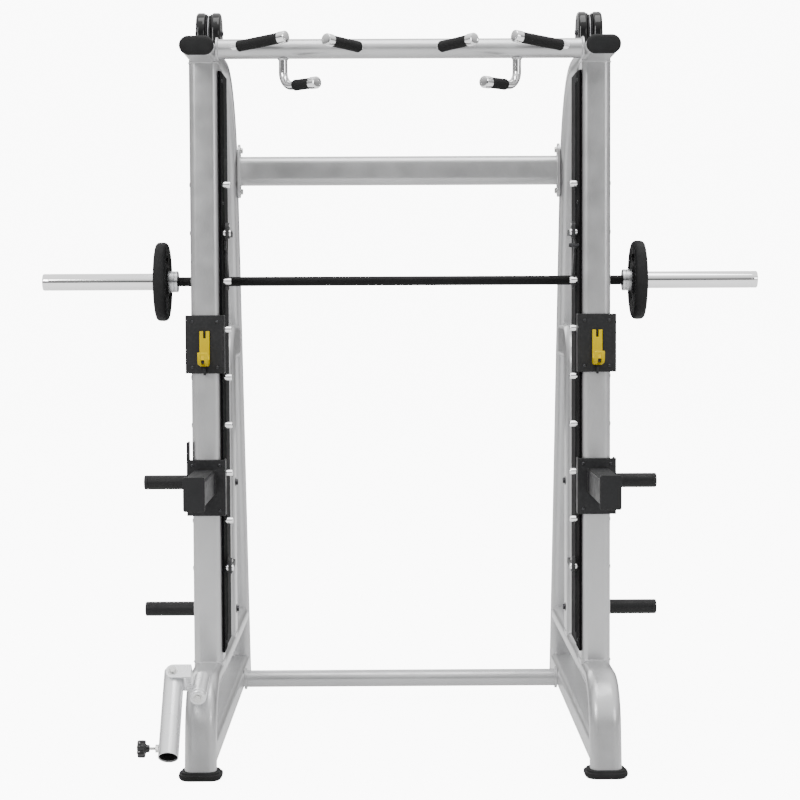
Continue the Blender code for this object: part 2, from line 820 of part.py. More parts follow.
def safety_stop(side, level, z):
    """Stop plate hung over a catch peg; its tail reaches back under the bar's path."""
    slot = PEG_RADIUS + 0.0008
    tail = BAR_DEPTH - PEG_DEPTH + 0.017
    outline = [(-0.016, -0.016), (-slot, -0.016), (-slot, 0.0095), (slot, 0.0095), (slot, -0.016)]
    outline += [(0.018, -0.016), (0.025, -STOP_HALF), (tail, -STOP_HALF), (tail, STOP_HALF)]
    outline += [(0.025, STOP_HALF), (0.016, 0.024), (0.008, 0.030), (-0.008, 0.030)]
    outline += [(-0.016, 0.022)]
    centre = at(0, PEG_DEPTH, z)
    ends = sorted(side * x for x in (0.5000, 0.5110))
    shape = prism(outline, centre, Vector((0, 1, 0)), UP, *ends)
    add(f"safety_stop_{level}_{side_name(side)}", shape, "cast_iron", centre)


# ---- rack attachments ----
def wrap_bracket(side, zs, outer_top=None):
    """Boxes of a channel that wraps the upright's front."""
    low, high = BRACKET_X
    outer_zs = (zs[0], outer_top or zs[1])
    face = (-BRACKET_THICK - 0.0005, -0.0005)
    sides = (face[0], BRACKET_FLANGE_DEPTH)
    return (
        span_box((side * low, side * high), face, zs),
        span_box((side * low, side * (low + BRACKET_THICK)), sides, zs),
        span_box((side * high, side * (high - BRACKET_THICK)), sides, outer_zs),
    )


def jhook_bracket(side):
    first, *rest = wrap_bracket(side, JHOOK_Z)
    made = add(f"jhook_bracket_{side_name(side)}", first, "black_paint")
    weld(made, *rest)


def jhook(side):
    """J-shaped bar cup, notched at its top and slotted through its front."""
    back = BRACKET_THICK + 0.0008
    outline = [(back, 1.146), (back, 1.248), (back + 0.008, 1.248), (back + 0.008, 1.176)]
    outline += [(back + 0.016, 1.166), (back + 0.060, 1.166), (back + 0.067, 1.172)]
    outline += [(back + 0.068, 1.188), (back + 0.076, 1.188), (back + 0.076, 1.164)]
    outline += [(back + 0.064, 1.153), (back + 0.020, 1.146)]
    x = side * 0.5690
    origin = at(x, 0, 0)
    made = add(
        f"jhook_{side_name(side)}",
        prism(outline, origin, Vector((0, -1, 0)), UP, -0.0145, 0.0145),
        "yellow",
    )
    top_notch = span_box((x - 0.0036, x + 0.0036), (-back - 0.020, -back + 0.010), (1.228, 1.260))
    slot = span_box((x - 0.0048, x + 0.0048), (-back - 0.090, -back - 0.030), (1.140, 1.181))
    cut(made, top_notch, slot)


def spotter_arm(side):
    outer_top = 0.925 if side < 0 else None
    first, *rest = wrap_bracket(side, SPOTTER_Z, outer_top)
    made = add(f"spotter_arm_{side_name(side)}", first, "black_paint")
    x = side * 0.5720
    front = -0.3385
    arm = span_box((x - 0.030, x + 0.030), (front, -0.003), (0.772, 0.842))
    plate = span_box((x - 0.030, x + 0.030), (front - 0.008, front), (0.758, 0.854))
    weld(made, *rest, arm, plate)
    cut(made, span_box((x - 0.026, x + 0.026), (front + 0.004, -0.012), (0.760, 0.836)))


# ---- landmine on the left foot ----
SWIVEL_AXIS = Vector((0, math.cos(SWIVEL_PITCH), math.sin(SWIVEL_PITCH)))
TUBE_AXIS = Vector((0, -math.cos(TUBE_PITCH), -math.sin(TUBE_PITCH)))
PIVOT_AXIS = Vector((0, -math.sin(TUBE_PITCH), math.cos(TUBE_PITCH)))
SWIVEL_PIN_RADIUS = 0.015
PIVOT_PIN_RADIUS = 0.006
SLEEVE_SPAN = (0.0185, 0.0885)


def swivel_origin():
    return at(-SIDE_X, -SWIVEL_END[0], SWIVEL_END[1])


def landmine_axle():
    """Fixed axle on the front of the left base arch, coped onto its bend, with an end cap."""
    end = swivel_origin()
    profile = [
        (0.0, 0.019),
        (0.003, 0.022),
        (0.018, 0.022),
        (0.018, SWIVEL_PIN_RADIUS),
        (0.089, SWIVEL_PIN_RADIUS),
        (0.089, 0.023),
        (0.157, 0.023),
    ]
    made = add("landmine_axle", turned(profile, end, SWIVEL_AXIS, 24), "steel")
    outer = rounded_rectangle(ARCH_WIDTH + 2 * GAP, ARCH_THICK + 2 * GAP, ARCH_CORNER, 2)
    cut(made, sweep(outer, arch_path(-SIDE_X), ACROSS))


def landmine_clevis():
    """Sleeve that swivels on the axle, with two ears that hold the tube's pivot pin."""
    end = swivel_origin()
    pivot = at(*LANDMINE_PIVOT)
    start, stop = SLEEVE_SPAN
    sleeve = turned([(start, 0.023), (stop, 0.023)], end, SWIVEL_AXIS, 24)
    made = add("landmine_clevis", sleeve, "silver_paint", end)
    web_x = 0.036
    ear = [(web_x, -0.021), (web_x, 0.021)]
    for step in range(9):
        turn = math.pi / 2 + math.pi * step / 8
        ear.append((0.021 * math.cos(turn), 0.021 * math.sin(turn)))
    across_ear = ACROSS
    along_ear = PIVOT_AXIS.cross(ACROSS)
    for near, far in ((0.0310, 0.0370), (-0.0370, -0.0310)):
        weld(made, prism(ear, pivot, across_ear, along_ear, near, far))
    web = rounded_rectangle(0.015, 0.042, 0.002, 1)
    web_middle = pivot + ACROSS * (web_x + 0.0075)
    weld(made, prism(web, web_middle, across_ear, along_ear, -0.0370, 0.0370))
    weld(made, rod(pivot - PIVOT_AXIS * 0.041, pivot + PIVOT_AXIS * 0.041, PIVOT_PIN_RADIUS, 16))
    bore = SWIVEL_PIN_RADIUS + RUNNING_GAP
    cut(made, rod(end, end + SWIVEL_AXIS * 0.12, bore, 24))


KNOB_ALONG = 0.222


def landmine_tube():
    pivot = at(*LANDMINE_PIVOT)
    outer, inner = 0.028, 0.0255
    profile = [(-0.020, inner), (-0.020, outer), (LANDMINE_LENGTH, outer), (LANDMINE_LENGTH, inner)]
    shape = turned(profile, pivot, TUBE_AXIS, 24, ring=True)
    made = add("landmine_tube", shape, "silver_paint", pivot)
    knob_spot = pivot + TUBE_AXIS * KNOB_ALONG
    weld(made, rod(knob_spot - ACROSS * 0.027, knob_spot - ACROSS * 0.036, 0.010, 6))
    cut(
        made,
        rod(pivot - PIVOT_AXIS * 0.04, pivot + PIVOT_AXIS * 0.04, PIVOT_PIN_RADIUS + 0.0004, 16),
        rod(knob_spot - ACROSS * 0.015, knob_spot - ACROSS * 0.05, 0.0044, 12),
    )


def landmine_knob():
    """Star knob on a clamp screw through the tube's wall."""
    spot = at(*LANDMINE_PIVOT) + TUBE_AXIS * KNOB_ALONG
    out = -ACROSS
    stem = turned([(0.0265, 0.004), (0.062, 0.004)], spot, out, 12)
    made = add("landmine_knob", stem, "gloss_black", spot)
    weld(made, turned([(0.052, 0.010), (0.064, 0.011)], spot, out, 16))
    outline = []
    for step in range(36):
        turn = 2 * math.pi * step / 36
        radius = 0.0225 + 0.0025 * math.cos(6 * turn)
        outline.append((radius * math.cos(turn), radius * math.sin(turn)))
    back = Vector((0, 1, 0))
    weld(made, prism(outline, spot, back, UP, -0.085, -0.063))


def main():
    for old in list(bpy.data.objects):
        bpy.data.objects.remove(old, do_unlink=True)
    levels = peg_levels()
    carriage_top = BAR_Z + CARRIAGE_HALF_HEIGHT
    weight_top = COUNTERWEIGHT_Z + COUNTERWEIGHT_LENGTH / 2
    for side in (-1, 1):
        front_upright(side)
        top_rear_tube(side)
        base_arch(side)
        floor_rail(side)
        storage_post(side)
        for level, z in zip(("upper", "lower"), STORAGE_PEG_Z):
            storage_peg(side, level, z)
        for end in ("front", "rear"):
            foot(end, side)
        beam_cap(side)
        guide_housing(side)
        guide_rod(side)
        peg_strip(side)
        catch_pegs(side)
        pulley(side)
        pulley_housing(side)
        cable(side, carriage_top, weight_top)
        carriage(side)
        bar_hook(side)
        weight_plate(side)
        counterweight(side)
        safety_stop(side, "upper", levels[UPPER_STOP_PEG])
        safety_stop(side, "lower", levels[0])
        jhook_bracket(side)
        jhook(side)
        spotter_arm(side)
    upper_crossbeam()
    lower_crossbar()
    pull_up_bar()
    smith_bar()
    landmine_axle()
    landmine_clevis()
    landmine_tube()
    landmine_knob()


main()
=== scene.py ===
"""Looks of the smith machine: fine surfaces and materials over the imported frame."""

import math

import bmesh
import bpy
from mathutils import Matrix, Vector


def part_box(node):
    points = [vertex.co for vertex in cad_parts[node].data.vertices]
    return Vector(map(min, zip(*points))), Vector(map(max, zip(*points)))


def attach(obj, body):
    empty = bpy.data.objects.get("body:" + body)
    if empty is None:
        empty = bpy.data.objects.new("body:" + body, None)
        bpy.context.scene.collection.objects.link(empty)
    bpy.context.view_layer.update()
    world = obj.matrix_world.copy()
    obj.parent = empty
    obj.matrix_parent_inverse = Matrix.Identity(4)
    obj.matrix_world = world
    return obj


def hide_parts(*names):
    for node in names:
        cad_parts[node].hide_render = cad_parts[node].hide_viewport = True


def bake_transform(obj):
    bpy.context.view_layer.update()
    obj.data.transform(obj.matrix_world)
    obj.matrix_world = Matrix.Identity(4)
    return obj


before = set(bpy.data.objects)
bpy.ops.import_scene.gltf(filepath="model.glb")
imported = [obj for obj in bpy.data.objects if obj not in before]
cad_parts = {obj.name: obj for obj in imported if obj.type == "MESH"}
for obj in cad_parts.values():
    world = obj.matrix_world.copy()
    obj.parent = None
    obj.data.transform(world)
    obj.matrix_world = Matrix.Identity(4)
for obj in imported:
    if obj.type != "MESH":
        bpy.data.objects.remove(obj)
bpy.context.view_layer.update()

# ---- dimensions shared with the model, metres ----
GAP = 0.0003
DEPTH_ORIGIN = 0.34653
SIDE_X = 0.5675
UPRIGHT_WIDTH = 0.085
UPRIGHT_DEPTH = 0.12
UPRIGHT_CORNER = 0.02
INNER_X = SIDE_X - UPRIGHT_WIDTH / 2
OUTER_X = SIDE_X + UPRIGHT_WIDTH / 2
WALL = 0.004
TUBE_WIDTH = 0.094
TUBE_THICK = 0.05
TUBE_CORNER = 0.024
TUBE_INNER_X = SIDE_X - TUBE_WIDTH / 2
TOP_Z = 2.047
TOP_FRONT_DEPTH = -0.19
REAR_BEND_RADIUS = 0.4
REAR_LEAN = math.radians(14)
REAR_PASS = (0.812, 1.333)
ARCH_WIDTH = 0.09
ARCH_THICK = 0.058
ARCH_CORNER = 0.026
ARCH_Z = 0.25
ARCH_INNER_X = SIDE_X - ARCH_WIDTH / 2
ARCH_BEND_RADIUS = 0.13
FRONT_FOOT_DEPTH = -0.262
FRONT_LEAN = math.radians(8.9)
FOOT_HEIGHT = 0.0232
FRAME_BOTTOM = 0.0235
FOOT_LEVEL = 0.033
RAIL_HEIGHT = 0.07
RAIL_Z = 0.069
RAIL_CORNER = 0.018
STORAGE_DEPTH = 0.5495
STORAGE_THICK = 0.109
STORAGE_TOP_Z = 1.2
STORAGE_BEND_RADIUS = 0.085
STORAGE_PEG_Z = {"upper": 0.758, "lower": 0.353}
CROSSBEAM_Z = 1.752
CROSSBAR_DEPTH = 0.85
FLANGE_THICK = 0.008
TUBE_WALL = 0.003
SADDLE = 0.016          # how far a tube's end runs on past its neighbour's rounded corner
LEG_SADDLE = 0.024
PULL_BAR_DEPTH = -0.1
PEG_DEPTH = 0.06
PEG_RADIUS = 0.009
PEG_LEVELS = [0.5495 + 0.1405 * index for index in range(9)]
BAR_Z = PEG_LEVELS[6]
BAR_DEPTH = 0.178
ROD_DEPTH = 0.23
PULLEY_Z = 2.133
CABLE_ARC_RADIUS = 0.052
CARRIAGE_TOP = BAR_Z + 0.04
BRACKET_X = (0.5125, 0.625)
BRACKET_MIDDLE = 0.5688
STRIP_FACE = 0.519
HOOK_X = (0.5115, 0.5185)
STOP_X = (0.5, 0.511)
HOOK_RAISED = math.radians(50)
SWIVEL_PITCH = math.radians(12)
TUBE_PITCH = math.radians(48)
LANDMINE_LENGTH = 0.25
KNOB_ALONG = 0.222

ACROSS = Vector((1, 0, 0))
BACK = Vector((0, 1, 0))
UP = Vector((0, 0, 1))
LEG_NORMAL = Vector((0, math.cos(FRONT_LEAN), -math.sin(FRONT_LEAN)))
POST_NORMAL = Vector((0, math.cos(REAR_LEAN), math.sin(REAR_LEAN)))
SWIVEL_AXIS = Vector((0, math.cos(SWIVEL_PITCH), math.sin(SWIVEL_PITCH)))
TUBE_AXIS = Vector((0, -math.cos(TUBE_PITCH), -math.sin(TUBE_PITCH)))
PIVOT_AXIS = Vector((0, -math.sin(TUBE_PITCH), math.cos(TUBE_PITCH)))


def at(x, depth, z):
    return Vector((x, depth - DEPTH_ORIGIN, z))


SWIVEL_END = at(-SIDE_X, -0.33, 0.24)
LANDMINE_PIVOT = at(-0.636, -0.3, 0.292)
SIDES = ((-1, "left"), (1, "right"))


# ---- materials ----
SILVER = "silver_grey_coat"
BLACK = "black_powder_coat"
CHROME = "polished_chrome"
STEEL = "machined_steel"
ZINC = "zinc_bolt"
OXIDE = "black_oxide_bolt"
IRON = "cast_iron_grey"
RUBBER = "moulded_rubber"
GLOSS = "gloss_black_moulding"
BRIGHT = "bright_silver_coat"
WIRE = "wound_steel_cable"
BORE_PAINTED_SHADE = "tube_inside_painted_shade"
MATERIALS = {}          # name: (material, slot)


class NodeTree:
    """A shader tree with a short way to add a node and wire it."""

    def __init__(self, tree):
        self.nodes = tree.nodes
        self.links = tree.links

    def feed(self, socket, value):
        """Wires an output to a socket, or sets the socket to a constant."""
        if isinstance(value, bpy.types.NodeSocket):
            self.links.new(value, socket)
        else:
            socket.default_value = value

    def add(self, kind, output, inputs=None, **settings):
        made = self.nodes.new("ShaderNode" + kind)
        for key, value in settings.items():
            setattr(made, key, value)
        for key, value in (inputs or {}).items():
            self.feed(made.inputs[key], value)
        return made.outputs[output]

    def math(self, operation, *values):
        return self.add("Math", "Value", dict(enumerate(values)), operation=operation)


class Surface(NodeTree):
    """A material with procedural colour variation, roughness variation and relief."""

    def __init__(self, name, slot, color, roughness, metallic=0.0, specular=0.5, coat=0.0):
        self.material = bpy.data.materials.new(name)
        self.material.use_nodes = True
        self.material.diffuse_color = (*color, 1)
        super().__init__(self.material.node_tree)
        self.shader = self.nodes["Principled BSDF"].inputs
        self.color = (*color, 1)
        self.roughness = roughness
        self.shader["Base Color"].default_value = self.color
        self.shader["Roughness"].default_value = roughness
        self.shader["Metallic"].default_value = metallic
        self.shader["Specular IOR Level"].default_value = specular
        self.shader["Coat Weight"].default_value = coat
        self.place = self.add("TexCoord", "Object")
        self.normal = None
        MATERIALS[name] = (self.material, slot)

    def stretched(self, scale):
        return self.add("Mapping", "Vector", {"Vector": self.place, "Scale": scale})

    def noise(self, scale, detail=3.0, stretch=(1, 1, 1)):
        place = self.stretched(stretch)
        inputs = {"Vector": place, "Scale": scale, "Detail": detail}
        return self.add("TexNoise", "Fac", inputs)

    def remap(self, value, low, high, start=0.3, end=0.7):
        inputs = {"Value": value, "From Min": start, "From Max": end}
        return self.add("MapRange", "Result", {**inputs, "To Min": low, "To Max": high})

    def tint(self, factor, other):
        """Mixes the colour so far with another one by a factor from 0 to 1."""
        inputs = {"Factor": factor, "A": self.color, "B": (*other, 1)}
        self.color = self.add("Mix", "Result", inputs, data_type="RGBA")
        self.links.new(self.color, self.shader["Base Color"])
        return self

    def blotches(self, scale, detail, amount, other):
        return self.tint(self.remap(self.noise(scale, detail), 0.0, amount), other)

    def vary_roughness(self, scale, spread, stretch=(1, 1, 1)):
        low = max(0.02, self.roughness - spread)
        rough = self.remap(self.noise(scale, 4.0, stretch), low, self.roughness + spread)
        self.links.new(rough, self.shader["Roughness"])
        return self

    def relief(self, height, strength, distance):
        inputs = {"Strength": strength, "Distance": distance, "Height": height}
        if self.normal:
            inputs["Normal"] = self.normal
        self.normal = self.add("Bump", "Normal", inputs)
        self.links.new(self.normal, self.shader["Normal"])
        return self

    def grain(self, scale, detail, strength, distance, stretch=(1, 1, 1)):
        return self.relief(self.noise(scale, detail, stretch), strength, distance)

    def pores(self, scale, strength, distance):
        inputs = {"Vector": self.stretched((1, 1, 1)), "Scale": scale}
        return self.relief(self.add("TexVoronoi", "Distance", inputs), strength, distance)

    def worn_edges(self, bright, amount=0.8):
        """Bares lighter material on convex edges, broken up by noise."""
        edge = self.remap(self.add("NewGeometry", "Pointiness"), 0.0, 1.0, 0.53, 0.6)
        broken = self.remap(self.noise(140.0, 5.0), 0.0, amount, 0.45, 0.65)
        return self.tint(self.math("MULTIPLY", edge, broken), bright)

    def knurl(self, pitch, strength, distance):
        """Diamond relief from two crossed sets of ridges wound round the X axis."""
        along = self.add("SeparateXYZ", "X", {"Vector": self.place})
        across = self.add("SeparateXYZ", "Z", {"Vector": self.place})
        heights = []
        for lean in (-1, 1):
            total = self.math("MULTIPLY_ADD", across, lean, along)
            heights.append(self.math("PINGPONG", total, pitch))
        lower = self.math("MINIMUM", *heights)
        return self.relief(self.remap(lower, 0.0, 1.0, 0.0, pitch), strength, distance)


def make_materials():
    paint = Surface(SILVER, "frame_paint", (0.56, 0.562, 0.567), 0.33, 0.68, coat=0.5)
    paint.shader["Coat Roughness"].default_value = 0.14
    paint.blotches(5, 4, 0.45, (0.49, 0.492, 0.498))
    paint.tint(paint.remap(paint.noise(1400, 2), 0, 0.35, 0.5, 0.75), (0.74, 0.745, 0.755))
    paint.vary_roughness(18, 0.05).grain(420, 2, 0.14, 0.0004).grain(60, 2, 0.05, 0.0008)

    black = Surface(BLACK, "black_paint", (0.014, 0.014, 0.015), 0.46, specular=0.26)
    black.blotches(9, 5, 0.5, (0.022, 0.022, 0.023)).worn_edges((0.075, 0.075, 0.078), 0.4)
    black.vary_roughness(30, 0.08).grain(850, 3, 0.35, 0.0004)

    matte = Surface("matte_black_liner", "black_paint", (0.003, 0.003, 0.0034), 0.85, specular=0.04)
    matte.blotches(14, 4, 0.5, (0.005, 0.005, 0.0055))
    matte.vary_roughness(30, 0.08).grain(900, 3, 0.25, 0.0003)

    column = Surface("column_black_coat", "black_paint", (0.009, 0.009, 0.0095), 0.74, specular=0.09)
    column.blotches(7, 5, 0.5, (0.015, 0.015, 0.016))
    column.vary_roughness(30, 0.06).grain(850, 3, 0.3, 0.0004)

    chrome = Surface(CHROME, "chrome", (0.975, 0.976, 0.98), 0.08, 1)
    chrome.blotches(12, 4, 0.5, (0.93, 0.931, 0.936)).vary_roughness(70, 0.03, (0.15, 1, 1))
    chrome.grain(900, 2, 0.04, 0.0002, (0.05, 1, 1))

    steel = Surface(STEEL, "steel", (0.66, 0.665, 0.675), 0.26, 1)
    steel.blotches(35, 5, 0.6, (0.52, 0.525, 0.535)).vary_roughness(120, 0.08)
    steel.grain(1100, 2, 0.12, 0.0002, (1, 1, 0.08))

    zinc = Surface(ZINC, "steel", (0.72, 0.72, 0.71), 0.28, 1)
    zinc.blotches(220, 4, 0.6, (0.55, 0.55, 0.54)).vary_roughness(260, 0.08).grain(900, 2, 0.15, 0.0002)

    dark_bolt = Surface(OXIDE, "steel", (0.035, 0.035, 0.038), 0.34, 0.7)
    dark_bolt.blotches(240, 4, 0.7, (0.075, 0.075, 0.08))
    dark_bolt.vary_roughness(260, 0.08).grain(900, 2, 0.15, 0.0002)

    shaft = Surface("black_knurled_shaft", "chrome", (0.004, 0.004, 0.0045), 0.38, specular=0.15)
    shaft.blotches(45, 5, 0.6, (0.01, 0.01, 0.0105)).vary_roughness(90, 0.08)
    shaft.knurl(0.0012, 0.55, 0.0004)

    iron = Surface(IRON, "cast_iron", (0.04, 0.04, 0.042), 0.55, 0.35)
    iron.blotches(50, 5, 0.7, (0.065, 0.065, 0.067)).worn_edges((0.22, 0.22, 0.225), 0.6)
    iron.vary_roughness(80, 0.1).grain(700, 4, 0.4, 0.0005)

    rubber = Surface(RUBBER, "rubber", (0.009, 0.009, 0.0095), 0.66, specular=0.22)
    rubber.blotches(30, 5, 0.6, (0.017, 0.017, 0.0175)).vary_roughness(40, 0.08)
    rubber.grain(1000, 4, 0.4, 0.0004).pores(260, 0.1, 0.0004)

    foam = Surface("ribbed_grip_rubber", "rubber", (0.009, 0.009, 0.0095), 0.7, specular=0.22)
    foam.blotches(60, 5, 0.6, (0.016, 0.016, 0.0165)).vary_roughness(60, 0.08).pores(420, 0.45, 0.0006)

    gloss = Surface(GLOSS, "gloss_black", (0.004, 0.004, 0.0045), 0.1, specular=0.45)
    gloss.blotches(14, 3, 0.5, (0.007, 0.007, 0.0075))
    gloss.vary_roughness(22, 0.04).grain(38, 2, 0.05, 0.001)

    yellow = Surface("yellow_coating", "yellow", (0.64, 0.47, 0), 0.42, specular=0.08)
    yellow.blotches(28, 4, 0.5, (0.57, 0.405, 0)).worn_edges((0.78, 0.62, 0.01), 0.5)
    yellow.vary_roughness(50, 0.07).grain(750, 3, 0.2, 0.0003)

    bright = Surface(BRIGHT, "silver_paint", (0.88, 0.885, 0.895), 0.26, 0.55, coat=0.4)
    bright.blotches(7, 4, 0.4, (0.8, 0.805, 0.815)).vary_roughness(14, 0.04).grain(600, 2, 0.14, 0.0003)

    strand = Surface(WIRE, "steel", (0.42, 0.42, 0.43), 0.34, 1)
    strand.blotches(300, 3, 0.7, (0.24, 0.24, 0.25)).vary_roughness(200, 0.08)
    strand.grain(500, 1, 0.8, 0.0006, (1, 1, 2.2))

    # painted shade: near-black colour with faint lighter blotches for the bar socket's bore, standing
    # in for the shade inside the tube
    inside = Surface(BORE_PAINTED_SHADE, "frame_paint", (0.01, 0.01, 0.0105), 0.8, specular=0.2)
    inside.blotches(70, 5, 0.7, (0.022, 0.021, 0.02)).vary_roughness(90, 0.1).grain(600, 3, 0.2, 0.0003)


# ---- shapes ----
def mm(*pairs):
    """Turns pairs in millimetres into metres."""
    return [(a / 1000, b / 1000) for a, b in pairs]


def rounded_rectangle(width, height, radius, steps=7):
    points = []
    for corner, (sx, sy) in enumerate(((1, 1), (-1, 1), (-1, -1), (1, -1))):
        x = sx * (width / 2 - radius)
        y = sy * (height / 2 - radius)
        points += arc(x, y, radius, radius, 90 * corner, 90, steps)
    return points


def arc(x, y, wide, high, start, through, steps):
    """Points along an ellipse's arc, angles in degrees, both ends included."""
    turns = [math.radians(start + through * step / steps) for step in range(steps + 1)]
    return [(x + wide * math.cos(turn), y + high * math.sin(turn)) for turn in turns]


def circle(radius, steps=40):
    return arc(0, 0, radius, radius, 0, 360, steps)[:-1]


def fillet(points, radius, steps):
    path = [points[0]]
    for before, corner, after in zip(points, points[1:], points[2:]):
        come = (corner - before).normalized()
        go = (after - corner).normalized()
        half = come.angle(go) / 2
        centre = corner + (go - come).normalized() * radius / math.cos(half)
        spoke = corner - come * radius * math.tan(half) - centre
        normal = come.cross(go).normalized()
        for step in range(steps + 1):
            path.append(centre + Matrix.Rotation(2 * half * step / steps, 3, normal) @ spoke)
    path.append(points[-1])
    return path


def join_rings(bm, rings, closed=False):
    count = len(rings[0])
    pairs = list(zip(rings, rings[1:]))
    if closed:
        pairs.append((rings[-1], rings[0]))
    for low, high in pairs:
        for i in range(count):
            j = (i + 1) % count
            bm.faces.new((low[i], low[j], high[j], high[i]))


def placed(origin, across, up, outline):
    return [origin + across * a + up * b for a, b in outline]


def loft(rings, closed=False):
    """Skins rings of points, and caps both ends unless the last ring meets the first."""
    bm = bmesh.new()
    layers = [[bm.verts.new(point) for point in ring] for ring in rings]
    join_rings(bm, layers, closed)
    if not closed:
        bm.faces.new(layers[0])
        bm.faces.new(layers[-1])
    return bm


def sweep(outline, path, across, inner=None, first_normal=None, last_normal=None):
    """Carries an outline along a path; with an inner outline the result is an open tube."""
    bm = bmesh.new()
    layers = [[], []]
    for i, point in enumerate(path):
        come = (point - path[i - 1]).normalized() if i else None
        go = (path[i + 1] - point).normalized() if i + 1 < len(path) else None
        tangent = come or go
        normal = (tangent + (go or tangent)).normalized()
        if i == 0 and first_normal:
            normal = first_normal
        if go is None and last_normal:
            normal = last_normal
        up = across.cross(tangent).normalized()
        up = up - tangent * (up.dot(normal) / tangent.dot(normal))
        for layer, shape in zip(layers, (outline, inner)):
            if shape:
                layer.append([bm.verts.new(p) for p in placed(point, across, up, shape)])
    for layer in layers:
        if layer:
            join_rings(bm, layer)
    for end in (0, -1):
        if inner:
            join_rings(bm, [layers[0][end], layers[1][end]])
        else:
            bm.faces.new(layers[0][end])
    return bm


def hollow(width, height, corner, wall):
    outer = rounded_rectangle(width, height, corner)
    return outer, rounded_rectangle(width - 2 * wall, height - 2 * wall, corner - wall)


def box(xs, depths, zs):
    corners = [at(x, depth, z) for x, depth, z in zip(xs, depths, zs)]
    low = Vector(map(min, *corners))
    high = Vector(map(max, *corners))
    bm = bmesh.new()
    bmesh.ops.create_cube(bm, size=1.0)
    bmesh.ops.transform(bm, matrix=Matrix.Diagonal((*(high - low), 1)), verts=bm.verts)
    bmesh.ops.translate(bm, vec=(low + high) / 2, verts=bm.verts)
    return bm


def turned(profile, origin, direction, steps=56, ring=False):
    """Turns (distance along, radius) points about an axis; a ring's profile is a closed loop."""
    direction = Vector(direction).normalized()
    across = direction.orthogonal().normalized()
    up = direction.cross(across)
    rings = [
        placed(origin + direction * along, across, up, circle(radius, steps))
        for along, radius in profile
    ]
    return loft(rings, closed=ring)


def prism(outline, origin, across, up, start, end):
    normal = across.cross(up)
    return loft([placed(origin + normal * along, across, up, outline) for along in (start, end)])


def rod(start, end, radius, steps=32):
    return turned([(0, radius), ((end - start).length, radius)], start, end - start, steps)


def merged(*shapes):
    total = bmesh.new()
    for shape in shapes:
        mesh = bpy.data.meshes.new("part")
        bmesh.ops.recalc_face_normals(shape, faces=shape.faces)
        shape.to_mesh(mesh)
        shape.free()
        total.from_mesh(mesh)
        bpy.data.meshes.remove(mesh)
    return total


def bevel(made, width, segments=3, angle=30, harden=True):
    modifier = made.modifiers.new("edges", "BEVEL")
    modifier.width = width
    modifier.segments = segments
    modifier.limit_method = "ANGLE"
    modifier.angle_limit = math.radians(angle)
    modifier.harden_normals = harden


def new_object(name, shape):
    """Links a bmesh to the scene as an object."""
    mesh = bpy.data.meshes.new(name)
    shape.to_mesh(mesh)
    shape.free()
    made = bpy.data.objects.new(name, mesh)
    bpy.context.scene.collection.objects.link(made)
    return made


def piece(name, shape, material, body="frame", cad=None, edge=0.0, segments=3, angle=30):
    """A visible piece that rides on a body and may stand for a CAD node."""
    bmesh.ops.recalc_face_normals(shape, faces=shape.faces)
    made = new_object(name, shape)
    surface, slot = MATERIALS[material]
    made.data.materials.append(surface)
    made.data.shade_smooth()
    if edge:
        bevel(made, edge, segments, angle)
    else:
        made.data.set_sharp_from_angle(angle=math.radians(angle))
    if body:
        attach(made, body)
    if cad:
        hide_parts(cad)
    return made


def cut(made, *shapes):
    """Applies a Boolean difference, before any bevel on the piece."""
    graph = bpy.context.evaluated_depsgraph_get()
    for shape in shapes:
        bmesh.ops.recalc_face_normals(shape, faces=shape.faces)
        tool = new_object("tool", shape)
        modifier = made.modifiers.new("cut", "BOOLEAN")
        modifier.operation = "DIFFERENCE"
        modifier.object = tool
        modifier.solver = "EXACT"
        bpy.context.view_layer.update()
        result = bpy.data.meshes.new_from_object(made.evaluated_get(graph))
        made.modifiers.remove(modifier)
        made.data = result
        bpy.data.objects.remove(tool, do_unlink=True)
    made.data.shade_smooth()
    made.data.set_sharp_from_angle(angle=math.radians(30))


def around(outline):
    """More points along an outline, evenly spread."""
    dense = []
    for (ax, ay), (bx, by) in zip(outline, outline[1:] + outline[:1]):
        steps = max(1, round(math.hypot(bx - ax, by - ay) / 0.004))
        for step in range(steps):
            t = step / steps
            dense.append((ax + (bx - ax) * t, ay + (by - ay) * t))
    return dense


def outline_weld(name, outline, origin, across, up, radius=0.0022, body="frame"):
    """A lumpy weld round an outline, as a thin closed tube with ripples."""
    path = placed(origin, across, up, around(outline))
    normal = across.cross(up)
    rings = []
    for i, point in enumerate(path):
        tangent = (path[(i + 1) % len(path)] - path[i - 1]).normalized()
        side = tangent.cross(normal).normalized()
        other = tangent.cross(side).normalized()
        lump = radius * (1.0 + 0.16 * math.sin(i * 2.1))
        rings.append(placed(point, side, other, circle(lump, 8)))
    finish = SILVER if body == "frame" else BLACK
    return piece(name, loft(rings, closed=True), finish, body, angle=60)


def bolt(name, origin, direction, size=0.008, material=ZINC, body="frame"):
    """Hex bolt head with a chamfered crown over a washer, standing on a surface."""
    direction = Vector(direction).normalized()
    across = direction.orthogonal().normalized()
    up = direction.cross(across)
    rim = size * 1.55
    washer = turned([(0, rim), (0.0012, rim), (0.0016, rim - 0.0006)], origin, direction, 28)
    height = size * 0.75
    flat = circle(size * 1.12, 6)
    levels = ((0.0016, flat), (0.0016 + height * 0.8, flat))
    levels += ((0.0016 + height, circle(size * 0.98, 6)),)
    head = loft([placed(origin + direction * along, across, up, ring) for along, ring in levels])
    return piece(name, merged(washer, head), material, body, edge=0.0004, segments=2)


def button_bolt(name, origin, direction, size=0.008, material=ZINC, body="frame"):
    """Domed bolt head with a hexagon recess ring."""
    profile = [(0, size), (size * 0.15, size), (size * 0.4, size * 0.86), (size * 0.56, size * 0.6)]
    profile += [(size * 0.6, size * 0.42), (size * 0.35, size * 0.4)]
    return piece(name, turned(profile, origin, direction, 28), material, body)


